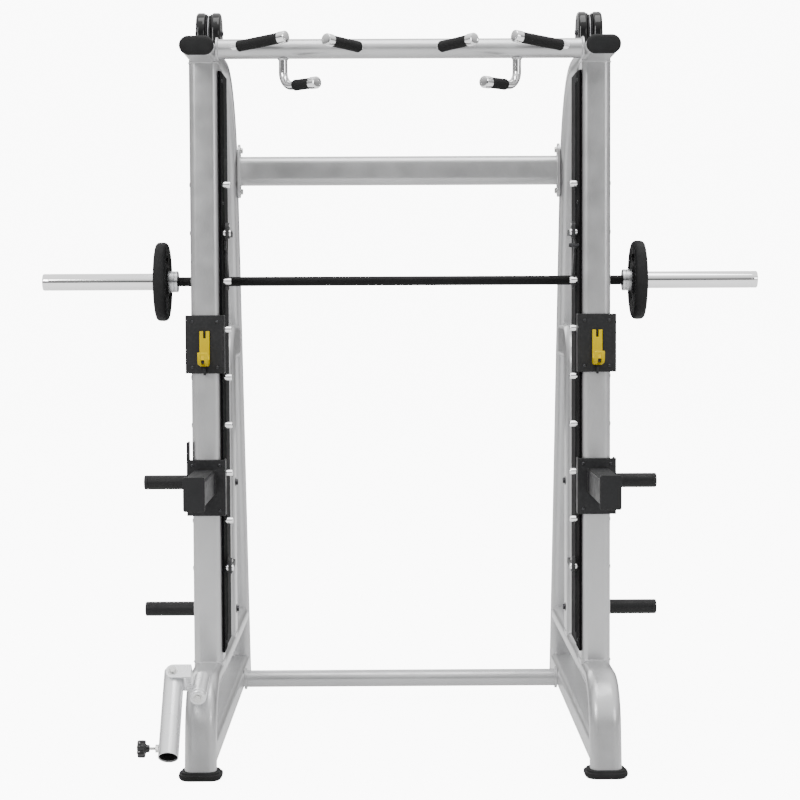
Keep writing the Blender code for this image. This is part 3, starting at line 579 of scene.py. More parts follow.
# ---- frame ----
def post_depth(z):
    return REAR_PASS[0] + (REAR_PASS[1] - z) * math.tan(REAR_LEAN)


def post_face(z):
    return post_depth(z) - TUBE_THICK / 2 / math.cos(REAR_LEAN)


def leg_depth(z):
    return FRONT_FOOT_DEPTH + (z - FOOT_LEVEL) * math.tan(FRONT_LEAN)


def bend_depth(z):
    half = (math.pi / 2 - REAR_LEAN) / 2
    centre_depth = post_depth(TOP_Z) - REAR_BEND_RADIUS * math.tan(half)
    rise = z - (TOP_Z - REAR_BEND_RADIUS)
    return centre_depth + math.sqrt(REAR_BEND_RADIUS**2 - rise**2)


def side_tube(side, label, cad, section, corners, radius=0, steps=0, first=None, last=None):
    """One tube of a side frame through (depth, height) corners; returns its outline."""
    outer, inner = hollow(*section)
    path = fillet([at(side * SIDE_X, depth, z) for depth, z in corners], radius, steps)
    piece(label, sweep(outer, path, ACROSS, inner, first, last), SILVER, cad=cad)
    return outer


def side_frame(side, name):
    x = side * SIDE_X
    middle = UPRIGHT_DEPTH / 2
    bottom = ARCH_Z + ARCH_THICK / 2 + GAP
    top = TOP_Z - TUBE_THICK / 2 - GAP
    section = (UPRIGHT_WIDTH, UPRIGHT_DEPTH, UPRIGHT_CORNER, WALL)
    corners = [(middle, bottom - SADDLE), (middle, top + SADDLE)]
    outer = side_tube(side, f"upright_{name}", f"front_upright_{name}", section, corners)
    for end, z in (("foot", bottom), ("head", top)):
        outline_weld(f"upright_{end}_weld_{name}", outer, at(x, middle, z), ACROSS, BACK)
    for index, z in enumerate(PEG_LEVELS, 1):
        spot = at(side * OUTER_X, PEG_DEPTH, z)
        button_bolt(f"peg_bolt_{name}_{index}", spot, (side, 0, 0), 0.009)

    section = (TUBE_WIDTH, TUBE_THICK, TUBE_CORNER, TUBE_WALL)
    corners = [(TOP_FRONT_DEPTH, TOP_Z), (post_depth(TOP_Z), TOP_Z)]
    corners.append((post_depth(FRAME_BOTTOM), FRAME_BOTTOM))
    bend = (REAR_BEND_RADIUS, 30, None, UP)
    side_tube(side, f"top_and_rear_{name}", f"top_rear_tube_{name}", section, corners, *bend)

    section = (ARCH_WIDTH, ARCH_THICK, ARCH_CORNER, WALL)
    corners = [(leg_depth(FRAME_BOTTOM), FRAME_BOTTOM), (leg_depth(ARCH_Z), ARCH_Z)]
    corners.append((post_face(ARCH_Z) + SADDLE, ARCH_Z))
    bend = (ARCH_BEND_RADIUS, 20, UP, POST_NORMAL)
    side_tube(side, f"arch_{name}", f"base_arch_{name}", section, corners, *bend)

    section = (ARCH_WIDTH, RAIL_HEIGHT, RAIL_CORNER, WALL)
    front = leg_depth(RAIL_Z) + ARCH_THICK / 2 / math.cos(FRONT_LEAN) + GAP
    corners = [(front - LEG_SADDLE, RAIL_Z), (post_face(RAIL_Z) + SADDLE, RAIL_Z)]
    ends = (0, 0, LEG_NORMAL, POST_NORMAL)
    side_tube(side, f"rail_{name}", f"floor_rail_{name}", section, corners, *ends)

    section = (UPRIGHT_WIDTH, STORAGE_THICK, UPRIGHT_CORNER, WALL)
    corners = [(STORAGE_DEPTH, bottom - SADDLE), (STORAGE_DEPTH, STORAGE_TOP_Z)]
    corners.append((post_face(STORAGE_TOP_Z) + SADDLE, STORAGE_TOP_Z))
    bend = (STORAGE_BEND_RADIUS, 16, None, POST_NORMAL)
    outer = side_tube(side, f"post_{name}", f"storage_post_{name}", section, corners, *bend)
    outline_weld(f"post_weld_{name}", outer, at(x, STORAGE_DEPTH, bottom), ACROSS, BACK)
    for level, z in STORAGE_PEG_Z.items():
        inside = at(side * INNER_X, STORAGE_DEPTH, z)
        bolt(f"storage_bolt_{level}_{name}", inside, (-side, 0, 0), 0.009, OXIDE)
        storage_peg(side, name, level, z)


def storage_peg(side, name, level, z):
    profile = mm(
        (0.3, 31.5), (6.5, 31.5), (8, 30), (8.5, 24.5), (11, 23), (191, 23), (191.5, 22.4),
        (192.5, 22.4), (193, 23), (201, 23), (203.8, 21.6), (205, 19), (205, 15),
    )
    origin = at(side * OUTER_X, STORAGE_DEPTH, z)
    shape = turned(profile, origin, (side, 0, 0))
    cad = f"storage_peg_{level}_{name}"
    piece(f"peg_{level}_{name}", shape, BLACK, cad=cad)


def feet_and_caps(side, name):
    for end in ("front", "rear"):
        front = end == "front"
        depth = leg_depth(FOOT_LEVEL) if front else post_depth(FOOT_LEVEL)
        width, length = (0.122, 0.1) if front else (0.11, 0.09)
        rings = []
        levels = [(0.0, 0.014), (0.0012, 0.01), (0.0065, 0.002), (0.0085, 0.0), (0.014, 0.0)]
        levels += [(0.0165, 0.0012), (0.0178, 0.005), (0.0184, 0.012), (FOOT_HEIGHT, 0.016)]
        for z, inset in levels:
            outline = rounded_rectangle(width - inset, length - inset, 0.034 - inset / 2, 9)
            middle = at(side * SIDE_X, depth, z)
            rings.append(placed(middle, ACROSS, BACK, outline))
        cad = f"foot_{end}_{name}"
        piece(f"rubber_foot_{end}_{name}", loft(rings), RUBBER, cad=cad, angle=40)
    rings = []
    levels = [(0.0003, 0.002), (0.001, 0.0), (0.0085, 0.0), (0.012, 0.0015)]
    levels += [(0.015, 0.006), (0.017, 0.013), (0.0178, 0.022)]
    for depth, inset in levels:
        width, height = TUBE_WIDTH + 0.003 - inset, TUBE_THICK + 0.003 - inset
        outline = rounded_rectangle(width, height, max(0.006, 0.0262 - inset / 2), 10)
        base = at(side * SIDE_X, TOP_FRONT_DEPTH - depth, TOP_Z)
        rings.append(placed(base, ACROSS, UP, outline))
    piece(f"end_cap_{name}", loft(rings), RUBBER, cad=f"beam_cap_{name}", angle=40)


def cross_tube(label, cad, reach, depth, z):
    profile = [(0, 0.025), (0, 0.028), (2 * reach, 0.028), (2 * reach, 0.025)]
    shape = turned(profile, at(-reach, depth, z), ACROSS, 64, ring=True)
    piece(label, shape, SILVER, cad=cad)


def crossbeams():
    depth = bend_depth(CROSSBEAM_Z)
    reach = TUBE_INNER_X - GAP
    outer, inner = hollow(TUBE_WIDTH, TUBE_THICK, TUBE_CORNER, TUBE_WALL)
    turned_outer = [(b, a) for a, b in outer]
    turned_inner = [(b, a) for a, b in inner]
    path = [at(-reach, depth, CROSSBEAM_Z), at(reach, depth, CROSSBEAM_Z)]
    shape = sweep(turned_outer, path, BACK, turned_inner)
    piece("rear_crossbeam", shape, SILVER, cad="upper_crossbeam")
    flange = rounded_rectangle(0.06, 0.173, 0.029, 9)
    for side, name in SIDES:
        middle = at(0, depth, CROSSBEAM_Z)
        ends = sorted((side * (reach - FLANGE_THICK), side * reach))
        piece(f"crossbeam_flange_{name}", prism(flange, middle, BACK, UP, *ends), SILVER, edge=0.0015)
        spot = at(side * (reach - FLANGE_THICK), depth, CROSSBEAM_Z)
        outline_weld(f"crossbeam_weld_{name}", turned_outer, spot, BACK, UP, 0.0026)
        for level, dz in (("upper", 0.066), ("lower", -0.066)):
            spot = at(side * (reach - FLANGE_THICK), depth, CROSSBEAM_Z + dz)
            bolt(f"crossbeam_bolt_{level}_{name}", spot, (-side, 0, 0), 0.0085)
    reach = ARCH_INNER_X - GAP
    cross_tube("rear_crossbar", "lower_crossbar", reach, CROSSBAR_DEPTH, RAIL_Z)
    for side, name in SIDES:
        spot = at(side * reach, CROSSBAR_DEPTH, RAIL_Z)
        profile = [(0, 0.035), (0.0065, 0.035), (FLANGE_THICK, 0.0335)]
        piece(f"crossbar_flange_{name}", turned(profile, spot, (-side, 0, 0), 48), SILVER)


def pull_up_station():
    reach = TUBE_INNER_X - GAP
    cross_tube("overhead_bar", "pull_up_bar", reach, PULL_BAR_DEPTH, TOP_Z)
    for side, name in SIDES:
        collar = at(side * reach, PULL_BAR_DEPTH, TOP_Z)
        shape = turned([(0, 0.033), (0.004, 0.033), (0.007, 0.0295)], collar, (-side, 0, 0), 48)
        piece(f"overhead_bar_seat_{name}", shape, SILVER)
        root = at(side * 0.5, PULL_BAR_DEPTH, TOP_Z)
        tip = root + Vector((-side * 0.185, -0.113, 0.021))
        straight_handle(f"outer_handle_{name}", root, tip, 0.165)
        root = at(side * 0.095, PULL_BAR_DEPTH, TOP_Z)
        tip = root + Vector((side * 0.112, -0.132, 0.011))
        straight_handle(f"inner_handle_{name}", root, tip, 0.14)
        root = at(side * 0.331, PULL_BAR_DEPTH, TOP_Z)
        corner = root + Vector((0, 0, -0.106))
        tip = corner + Vector((-side * 0.66, -0.751, 0)) * 0.152
        bent_handle(f"hook_handle_{name}", root, corner, tip)


def grip(name, start, end):
    """Ribbed rubber sleeve and a turned metal end cap."""
    direction = (end - start).normalized()
    length = (end - start).length
    body = length - 0.026
    profile = [(0, 0.0128), (0.0005, 0.0152), (0.002, 0.016), (0.006, 0.016)]
    ribs = int((body - 0.012) / 0.0048)
    for index in range(ribs):
        base = 0.006 + index * 0.0048
        profile += [(base + 0.0008, 0.015), (base + 0.0018, 0.0148)]
        profile += [(base + 0.0028, 0.0157), (base + 0.0044, 0.0157)]
    profile += [(body - 0.0045, 0.016), (body - 0.001, 0.016), (body, 0.015), (body, 0.0128)]
    piece(f"{name}_grip", turned(profile, start, direction, 40), "ribbed_grip_rubber")
    cap = [(body + 0.0002, 0.0145), (body + 0.001, 0.0172), (body + 0.022, 0.0172)]
    cap += [(body + 0.0245, 0.016), (length - 0.0006, 0.0135), (length, 0.011)]
    piece(f"{name}_cap", turned(cap, start, direction, 44), CHROME)


def straight_handle(name, root, tip, grip_length):
    direction = (tip - root).normalized()
    length = (tip - root).length
    piece(f"{name}_tube", rod(root, root + direction * (length - 0.006), 0.0125, 40), CHROME)
    reach = 0.0295 / max(0.2, direction.cross(ACROSS).length)
    ring = root + direction * reach
    bead = mm((-3, 13.5), (-1, 15.5), (1, 15), (3, 12.8))
    piece(f"{name}_weld", turned(bead, ring, direction, 36), SILVER)
    grip(name, root + direction * (length - grip_length), tip)


def bent_handle(name, root, corner, tip):
    path = fillet([root, corner, tip], 0.04, 14)
    direction = (tip - corner).normalized()
    across = (path[1] - path[0]).cross(direction).normalized()
    path[-1] = tip - direction * 0.006
    piece(f"{name}_tube", sweep(circle(0.0125, 36), path, across), CHROME)
    ring = root - UP * 0.0285
    bead = mm((-3, 15), (-1, 16), (1, 15), (4, 12.8))
    piece(f"{name}_weld", turned(bead, ring, -UP, 36), SILVER)
    grip(name, tip - direction * 0.098, tip)


# ---- guide columns ----
def guide_column(side, name):
    x = side * SIDE_X
    assign(f"guide_housing_{name}", "column_black_coat")
    profile = mm((306.5, 14.2), (307.3, 15), (2002.9, 15), (2003.7, 14.2))
    piece(f"rod_{name}", turned(profile, at(x, ROD_DEPTH, 0), UP, 64), CHROME, cad=f"guide_rod_{name}")
    for end, z, way in (("foot", 0.3065, 1), ("head", 2.0035, -1)):
        profile = mm((0, 15.5), (0, 24), (14, 24), (16, 22), (16, 15.5))
        shape = turned(profile, at(x, ROD_DEPTH, z), UP * way, 40, ring=True)
        piece(f"rod_{end}_collar_{name}", shape, STEEL)
    strip_and_pegs(side, name)
    pulley_station(side, name)


def assign(node, material):
    """Gives a CAD node its finished material."""
    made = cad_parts[node]
    surface = MATERIALS[material][0]
    if not made.material_slots:
        made.data.materials.append(surface)
    for slot in made.material_slots:
        slot.material = surface


def strip_and_pegs(side, name):
    xs = (side * STRIP_FACE, side * (INNER_X - GAP))
    shape = box(xs, (0.008, 0.112), (0.306, 1.999))
    cad = f"peg_strip_{name}"
    piece(f"wear_strip_{name}", shape, "matte_black_liner", cad=cad, edge=0.0012)
    for index, z in enumerate(PEG_LEVELS, 1):
        spot = at(side * 0.5186, PEG_DEPTH, z)
        profile = mm((0, 9), (20.6, 9), (22.4, 8.2), (23.1, 6.8), (23.1, 3))
        shape = turned(profile, spot, (-side, 0, 0), 32)
        cad = f"catch_pegs_{name}" if index == 1 else None
        piece(f"catch_peg_{name}_{index}", shape, CHROME, cad=cad)
    for index, z in enumerate((0.33, 0.76, 1.19, 1.62, 1.975), 1):
        spot = at(side * STRIP_FACE, 0.062, z)
        button_bolt(f"strip_screw_{name}_{index}", spot, (-side, 0, 0), 0.0045, OXIDE)


def cheek_outline(radius, half_base, foot):
    """Bell outline of a pulley cover: a round head that flares into its foot."""
    outline = [(-half_base, foot), (half_base, foot), (half_base, foot + 0.01)]
    for step in range(1, 6):
        t = step / 6
        flare = half_base + (radius - half_base) * (1 - (1 - t) ** 2)
        outline.append((flare, foot + 0.01 + (-foot - 0.01) * t))
    outline += arc(0, 0, radius, radius, 0, 180, 24)
    for a, b in reversed(outline[3:8]):
        outline.append((-a, b))
    outline.append((-half_base, foot + 0.01))
    return outline


def pulley_station(side, name):
    centre = at(side * SIDE_X, ROD_DEPTH, PULLEY_Z)
    foot = TOP_Z + TUBE_THICK / 2 + GAP - PULLEY_Z
    outline = cheek_outline(0.0612, 0.07, foot)
    for index, cheek in enumerate((-1, 1), 1):
        ends = sorted((cheek * 0.0076, cheek * 0.0365))
        shape = prism(outline, centre, BACK, UP, *ends)
        cad = f"pulley_housing_{name}" if index == 1 else None
        made = piece(f"pulley_cover_{name}_{index}", shape, GLOSS, cad=cad)
        bevel(made, 0.0138, 8, 50)
        spot = centre + ACROSS * cheek * 0.0362
        label = f"pulley_axle_bolt_{name}_{index}"
        button_bolt(label, spot, (cheek, 0, 0), 0.01, OXIDE)
    start = centre - ACROSS * 0.01
    piece(f"pulley_axle_{name}", rod(start, centre + ACROSS * 0.01, 0.0099, 32), ZINC)
    profile = mm(
        (-6.8, 10.5), (-6.8, 20), (-5, 22), (-4, 26), (-4, 42), (-5.5, 46), (-6.8, 57.5), (-5.5, 58),
        (-3, 51), (0, 49), (3, 51), (5.5, 58), (6.8, 57.5), (5.5, 46), (4, 42), (4, 26), (5, 22),
        (6.8, 20), (6.8, 10.5),
    )
    shape = turned(profile, centre, ACROSS, 72, ring=True)
    piece(f"sheave_{name}", shape, BLACK, f"pulley_{name}", f"pulley_{name}")


def cable_runs(side, name):
    """The cable's lower ends follow the carriage and the counterweight."""
    x = side * SIDE_X
    front = ROD_DEPTH - CABLE_ARC_RADIUS
    rear = ROD_DEPTH + CABLE_ARC_RADIUS
    weight_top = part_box(f"counterweight_{name}")[1].z
    bend = arc(ROD_DEPTH, PULLEY_Z, CABLE_ARC_RADIUS, CABLE_ARC_RADIUS, 180, -180, 32)
    seam = 2.01
    path = [at(x, depth, z) for depth, z in [(front, seam), *bend, (rear, seam)]]
    shape = sweep(circle(0.0025, 14), path, ACROSS)
    piece(f"cable_over_pulley_{name}", shape, WIRE, cad=f"cable_{name}")
    for label, depth, low, body in (
        ("carriage", front, CARRIAGE_TOP, "carriages"),
        ("counterweight", rear, weight_top, f"counterweight_{name}"),
    ):
        steps = 60
        path = [at(x, depth, low + (seam - low) * i / steps) for i in range(steps + 1)]
        made = piece(f"cable_to_{label}_{name}", sweep(circle(0.0025, 14), path, ACROSS), WIRE, None)
        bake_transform(made)
        sleeve = mm((0.5, 3), (1, 5.2), (22, 5.2), (24, 3.4))
        piece(f"cable_ferrule_{label}_{name}", turned(sleeve, at(x, depth, low), UP, 24), ZINC, body)


# ---- moving bar ----
def bar_and_carriages():
    centre = at(0, BAR_DEPTH, BAR_Z)
    shape = turned([(-0.69, 0.014), (0.69, 0.014)], centre, ACROSS, 64)
    piece("bar_shaft", shape, "black_knurled_shaft", "bar", "smith_bar")
    for side, name in SIDES:
        way = Vector((side, 0, 0))
        profile = mm(
            (662, 14.3), (662, 30), (663.5, 31.8), (670, 31.8), (671.2, 30.6), (673, 30.6),
            (674.2, 31.8), (688.5, 31.8), (689.8, 30), (689.8, 14.3),
        )
        piece(f"bar_collar_{name}", turned(profile, centre, way, 64, ring=True), STEEL, "bar")
        profile = mm(
            (689.8, 19), (689.8, 25), (1044, 25), (1044.5, 24.3), (1046.5, 24.3), (1047, 25),
            (1062, 25), (1064, 24.3), (1065, 23), (1065, 20.5), (1062, 19),
        )
        piece(f"bar_sleeve_{name}", turned(profile, centre, way, 72, ring=True), CHROME, "bar")
        profile = mm((1040, 18.9), (1057, 18.9), (1057.5, 15), (1059, 14), (1059, 6), (1056, 5))
        piece(f"bar_end_plug_{name}", turned(profile, centre, way, 40), OXIDE, "bar")
        weight_plate(side, name)
        carriage(side, name)
        bar_hook(side, name)


def weight_plate(side, name):
    half = mm(
        (0.4, 25.3), (0.4, 40.5), (1.4, 42), (4.2, 44.5), (5.2, 48), (5.2, 86), (4, 89),
        (1.4, 92.5), (0.8, 95), (0.8, 106.5), (2.2, 111.5), (5.5, 115.1), (10, 117), (15, 117.5),
    )
    profile = half + [(0.038 - along, radius) for along, radius in reversed(half)]
    centre = at(side * 0.69, BAR_DEPTH, BAR_Z)
    shape = turned(profile, centre, (side, 0, 0), 96, ring=True)
    body = f"plate_{name}"
    made = piece(f"rubber_plate_{name}", shape, RUBBER, body, f"weight_plate_{name}")
    tools = []
    for index in range(3):
        middle = 90 + 120 * index
        outline = arc(0, 0, 0.079, 0.079, middle + 26, -52, 12)
        outline += arc(0, 0, 0.057, 0.057, middle - 26, 52, 12)
        ends = sorted((0.7 * side - 0.03, 0.7 * side + 0.05))
        tools.append(prism(outline, at(0, BAR_DEPTH, BAR_Z), BACK, UP, *ends))
    cut(made, *tools)
    bevel(made, 0.0022, 3, 55, harden=False)
    insert = mm((0.2, 25.3), (0.2, 30.5), (1, 32), (37, 32), (37.8, 30.5), (37.8, 25.3))
    piece(f"plate_hub_{name}", turned(insert, centre, (side, 0, 0), 64, ring=True), STEEL, body)


def carriage(side, name):
    body = "carriages"
    x = side * SIDE_X
    half = 0.0325
    spindle = at(x, ROD_DEPTH, BAR_Z)
    xs = (x - half, x + half)
    shape = box(xs, (BAR_DEPTH - 0.026, ROD_DEPTH - 0.022), (BAR_Z - 0.04, BAR_Z + 0.04))
    cad = f"carriage_{name}"
    piece(f"carriage_block_{name}", shape, STEEL, body, cad, edge=0.0025)
    lower = mm((-85, 15.3), (-85, 26), (-83, 28), (-60, 28), (-59.5, 27.2), (-57.5, 27.2), (-57, 28))
    profile = lower + [(-along, radius) for along, radius in reversed(lower)]
    piece(f"bearing_{name}", turned(profile, spindle, UP, 56, ring=True), STEEL, body)
    for end, way in (("upper", 1), ("lower", -1)):
        seal = mm((85.3, 15.3), (85.3, 23.5), (87, 22.5), (87, 15.3))
        shape = turned(seal, spindle, UP * way, 40, ring=True)
        piece(f"bearing_seal_{end}_{name}", shape, RUBBER, body)
    ring = mm((0, 14.6), (0, 22.5), (3, 22.5), (4, 21.2), (4, 14.6))
    for label, way in (("inner", -side), ("outer", side)):
        spot = at(x + way * half, BAR_DEPTH, BAR_Z)
        piece(f"bar_bush_{label}_{name}", turned(ring, spot, (way, 0, 0), 40, ring=True), ZINC, body)


def bar_hook(side, name):
    reach = BAR_DEPTH - PEG_DEPTH
    outline = arc(0, 0, 0.026, 0.026, 90, 180, 14)
    outline += [(0.014, -0.0215), (0.03, -0.014), (reach - 0.0115, -0.01)]
    outline += arc(reach, -0.0016, 0.0113, 0.0111, 180, -180, 8)
    outline += [(reach + 0.0113, -0.012), (reach + 0.02, -0.012), (reach + 0.0245, -0.004)]
    outline += [(reach + 0.026, 0.004), (reach + 0.0245, 0.017), (reach + 0.018, 0.026)]
    outline += [(reach + 0.009, 0.03), (0.04, 0.026)]
    forward = Vector((0, -math.cos(HOOK_RAISED), math.sin(HOOK_RAISED)))
    lift = Vector((0, math.sin(HOOK_RAISED), math.cos(HOOK_RAISED)))
    centre = at(0, BAR_DEPTH, BAR_Z)
    sign = forward.cross(lift).x
    ends = sorted(side * x * sign for x in HOOK_X)
    shape = prism(outline, centre, forward, lift, *ends)
    piece(f"hook_{name}", shape, IRON, "bar", f"bar_hook_{name}", edge=0.0012)


def counterweights(name):
    """A stack of iron plates that moves as one pack."""
    low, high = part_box(f"counterweight_{name}")
    body = f"counterweight_{name}"
    count = 18
    pitch = (high.z - low.z) / count
    middle = (low + high) / 2
    half_x = (high.x - low.x) / 2
    half_y = (high.y - low.y) / 2
    shapes = []
    for index in range(count):
        rings = []
        levels = ((0.0, 0.0012), (0.0012, 0.0), (pitch - 0.0014, 0.0), (pitch - 0.0002, 0.0012))
        for dz, inset in levels:
            outline = rounded_rectangle(2 * (half_x - inset), 2 * (half_y - inset), 0.006, 4)
            base = Vector((middle.x, middle.y, low.z + index * pitch + dz))
            rings.append(placed(base, ACROSS, BACK, outline))
        shapes.append(loft(rings))
    piece(f"iron_stack_{name}", merged(*shapes), IRON, body, f"counterweight_{name}")


def safety_stop(side, name, level, z):
    slot = PEG_RADIUS + 0.0008
    tail = BAR_DEPTH - PEG_DEPTH + 0.017
    outline = [(-0.014, -0.016), (-slot, -0.016)]
    outline += arc(0, 0.0002, slot, slot, 180, -180, 8)
    outline += [(slot, -0.016), (0.018, -0.016), (0.025, -0.009), (tail - 0.004, -0.009)]
    outline += [(tail, -0.005), (tail, 0.005), (tail - 0.004, 0.009), (0.025, 0.009)]
    outline += [(0.0185, 0.015), (0.016, 0.022)]
    outline += arc(0, 0.0165, 0.015, 0.0135, 0, 180, 8)
    outline += [(-0.016, 0.012), (-0.016, -0.013)]
    centre = at(0, PEG_DEPTH, z)
    ends = sorted(side * x for x in STOP_X)
    shape = prism(outline, centre, BACK, UP, *ends)
    body = f"{level}_stop_{name}"
    cad = f"safety_stop_{level}_{name}"
    piece(f"stop_block_{level}_{name}", shape, IRON, body, cad, edge=0.0014)
    spot = at(side * STOP_X[0], PEG_DEPTH, z + 0.0215)
    button_bolt(f"stop_rivet_{level}_{name}", spot, (-side, 0, 0), 0.004, ZINC, body)


# ---- rack attachments ----
def channel_outline(clearance=0.0005, thick=0.006, wing=0.044):
    """Plan outline of a bracket that wraps an upright's front."""
    low, high = BRACKET_X
    face = -clearance
    return [
        (low, wing),
        (low, face - thick),
        (high, face - thick),
        (high, wing),
        (high - thick, wing),
        (high - thick, face),
        (low + thick, face),
        (low + thick, wing),
    ]


def wrap_bracket(side, zs):
    outline = [(side * a, b - DEPTH_ORIGIN) for a, b in channel_outline()]
    return prism(outline, Vector((0, 0, 0)), ACROSS, BACK, *zs)


def rivets(side, label, body, reach, heights):
    """Four rivets at the corners of a bracket's front."""
    corners = ((z, dx) for z in heights for dx in (-reach, reach))
    for index, (z, dx) in enumerate(corners, 1):
        spot = at(side * BRACKET_MIDDLE + dx, -0.0065, z)
        button_bolt(f"{label}_{index}", spot, (0, -1, 0), 0.005, OXIDE, body)


def j_hook(side, name):
    body = f"j_hook_{name}"
    shape = wrap_bracket(side, (1.125, 1.294))
    cad = f"jhook_bracket_{name}"
    piece(f"hook_bracket_{name}", shape, BLACK, body, cad, edge=0.0022)
    rivets(side, f"bracket_rivet_{name}", body, 0.036, (1.275, 1.143))
    back = 0.0068
    x = side * 0.569
    profile = [(back, 1.147), (back, 1.248), (back + 0.008, 1.248), (back + 0.009, 1.18)]
    profile += arc(back + 0.021, 1.178, 0.012, 0.012, 180, 90, 6)
    profile += arc(back + 0.06, 1.173, 0.007, 0.007, -90, 90, 4)
    profile += [(back + 0.068, 1.186), (back + 0.07, 1.188), (back + 0.0745, 1.188)]
    profile += [(back + 0.076, 1.186), (back + 0.076, 1.166), (back + 0.072, 1.159)]
    profile += [(back + 0.064, 1.153), (back + 0.02, 1.1465), (back + 0.004, 1.1462)]
    shape = prism(profile, at(x, 0, 0), Vector((0, -1, 0)), UP, -0.0145, 0.0145)
    made = piece(f"yellow_cup_{name}", shape, "yellow_coating", body, f"jhook_{name}")
    notch = box((x - 0.0038, x + 0.0038), (-back - 0.012, -back + 0.004), (1.227, 1.26))
    lip = box((x - 0.0048, x + 0.0048), (-back - 0.09, -back - 0.03), (1.135, 1.1805))
    wedges = []
    for way in (-1, 1):
        corner = [(way * 0.0105, 1.14), (way * 0.0165, 1.14), (way * 0.0165, 1.162)]
        wedges.append(prism(corner, at(x, 0, 0), ACROSS, UP, 0.0, 0.095))
    cut(made, notch, lip, *wedges)
    bevel(made, 0.0014, 3, 40)
    pad = [(back + 0.029, 1.1535), (back + 0.07, 1.1585), (back + 0.07, 1.1655)]
    pad += [(back + 0.029, 1.1655)]
    shape = prism(pad, at(x, 0, 0), Vector((0, -1, 0)), UP, -0.0044, 0.0044)
    piece(f"cup_pad_{name}", shape, RUBBER, body, edge=0.0008)
    web = mm((6.7, 1122), (6.7, 1145.5), (30, 1145.5), (30, 1140), (14, 1120))
    shape = prism(web, at(x, 0, 0), Vector((0, -1, 0)), UP, -0.0035, 0.0035)
    piece(f"cup_web_{name}", shape, BLACK, body, edge=0.001)


def spotter(side, name):
    body = f"spotter_{name}"
    shape = wrap_bracket(side, (0.71, 0.874))
    cad = f"spotter_arm_{name}"
    piece(f"arm_bracket_{name}", shape, BLACK, body, cad, edge=0.0022)
    if side < 0:
        ear = box((-0.625, -0.619), (-0.0065, 0.044), (0.872, 0.925))
        piece("arm_bracket_ear_left", ear, BLACK, body, edge=0.0018)
    x = side * 0.572
    front = -0.3385
    outer, inner = hollow(0.06, 0.07, 0.005, 0.004)
    path = [at(x, -0.0066, 0.807), at(x, front, 0.807)]
    piece(f"arm_tube_{name}", sweep(outer, path, ACROSS, inner), BLACK, body)
    outline_weld(f"arm_weld_{name}", outer, at(x, -0.0072, 0.807), ACROSS, UP, 0.0028, body)
    plate = rounded_rectangle(0.06, 0.096, 0.006, 5)
    shape = prism(plate, at(x, front, 0.806), ACROSS, UP, 0.0, 0.008)
    piece(f"arm_end_plate_{name}", shape, BLACK, body, edge=0.0016)
    pad = box((x - 0.0285, x + 0.0285), (-0.02, front + 0.006), (0.842, 0.8455))
    piece(f"arm_pad_{name}", pad, RUBBER, body, edge=0.0012)
    rivets(side, f"arm_rivet_{name}", body, 0.04, (0.858, 0.726))


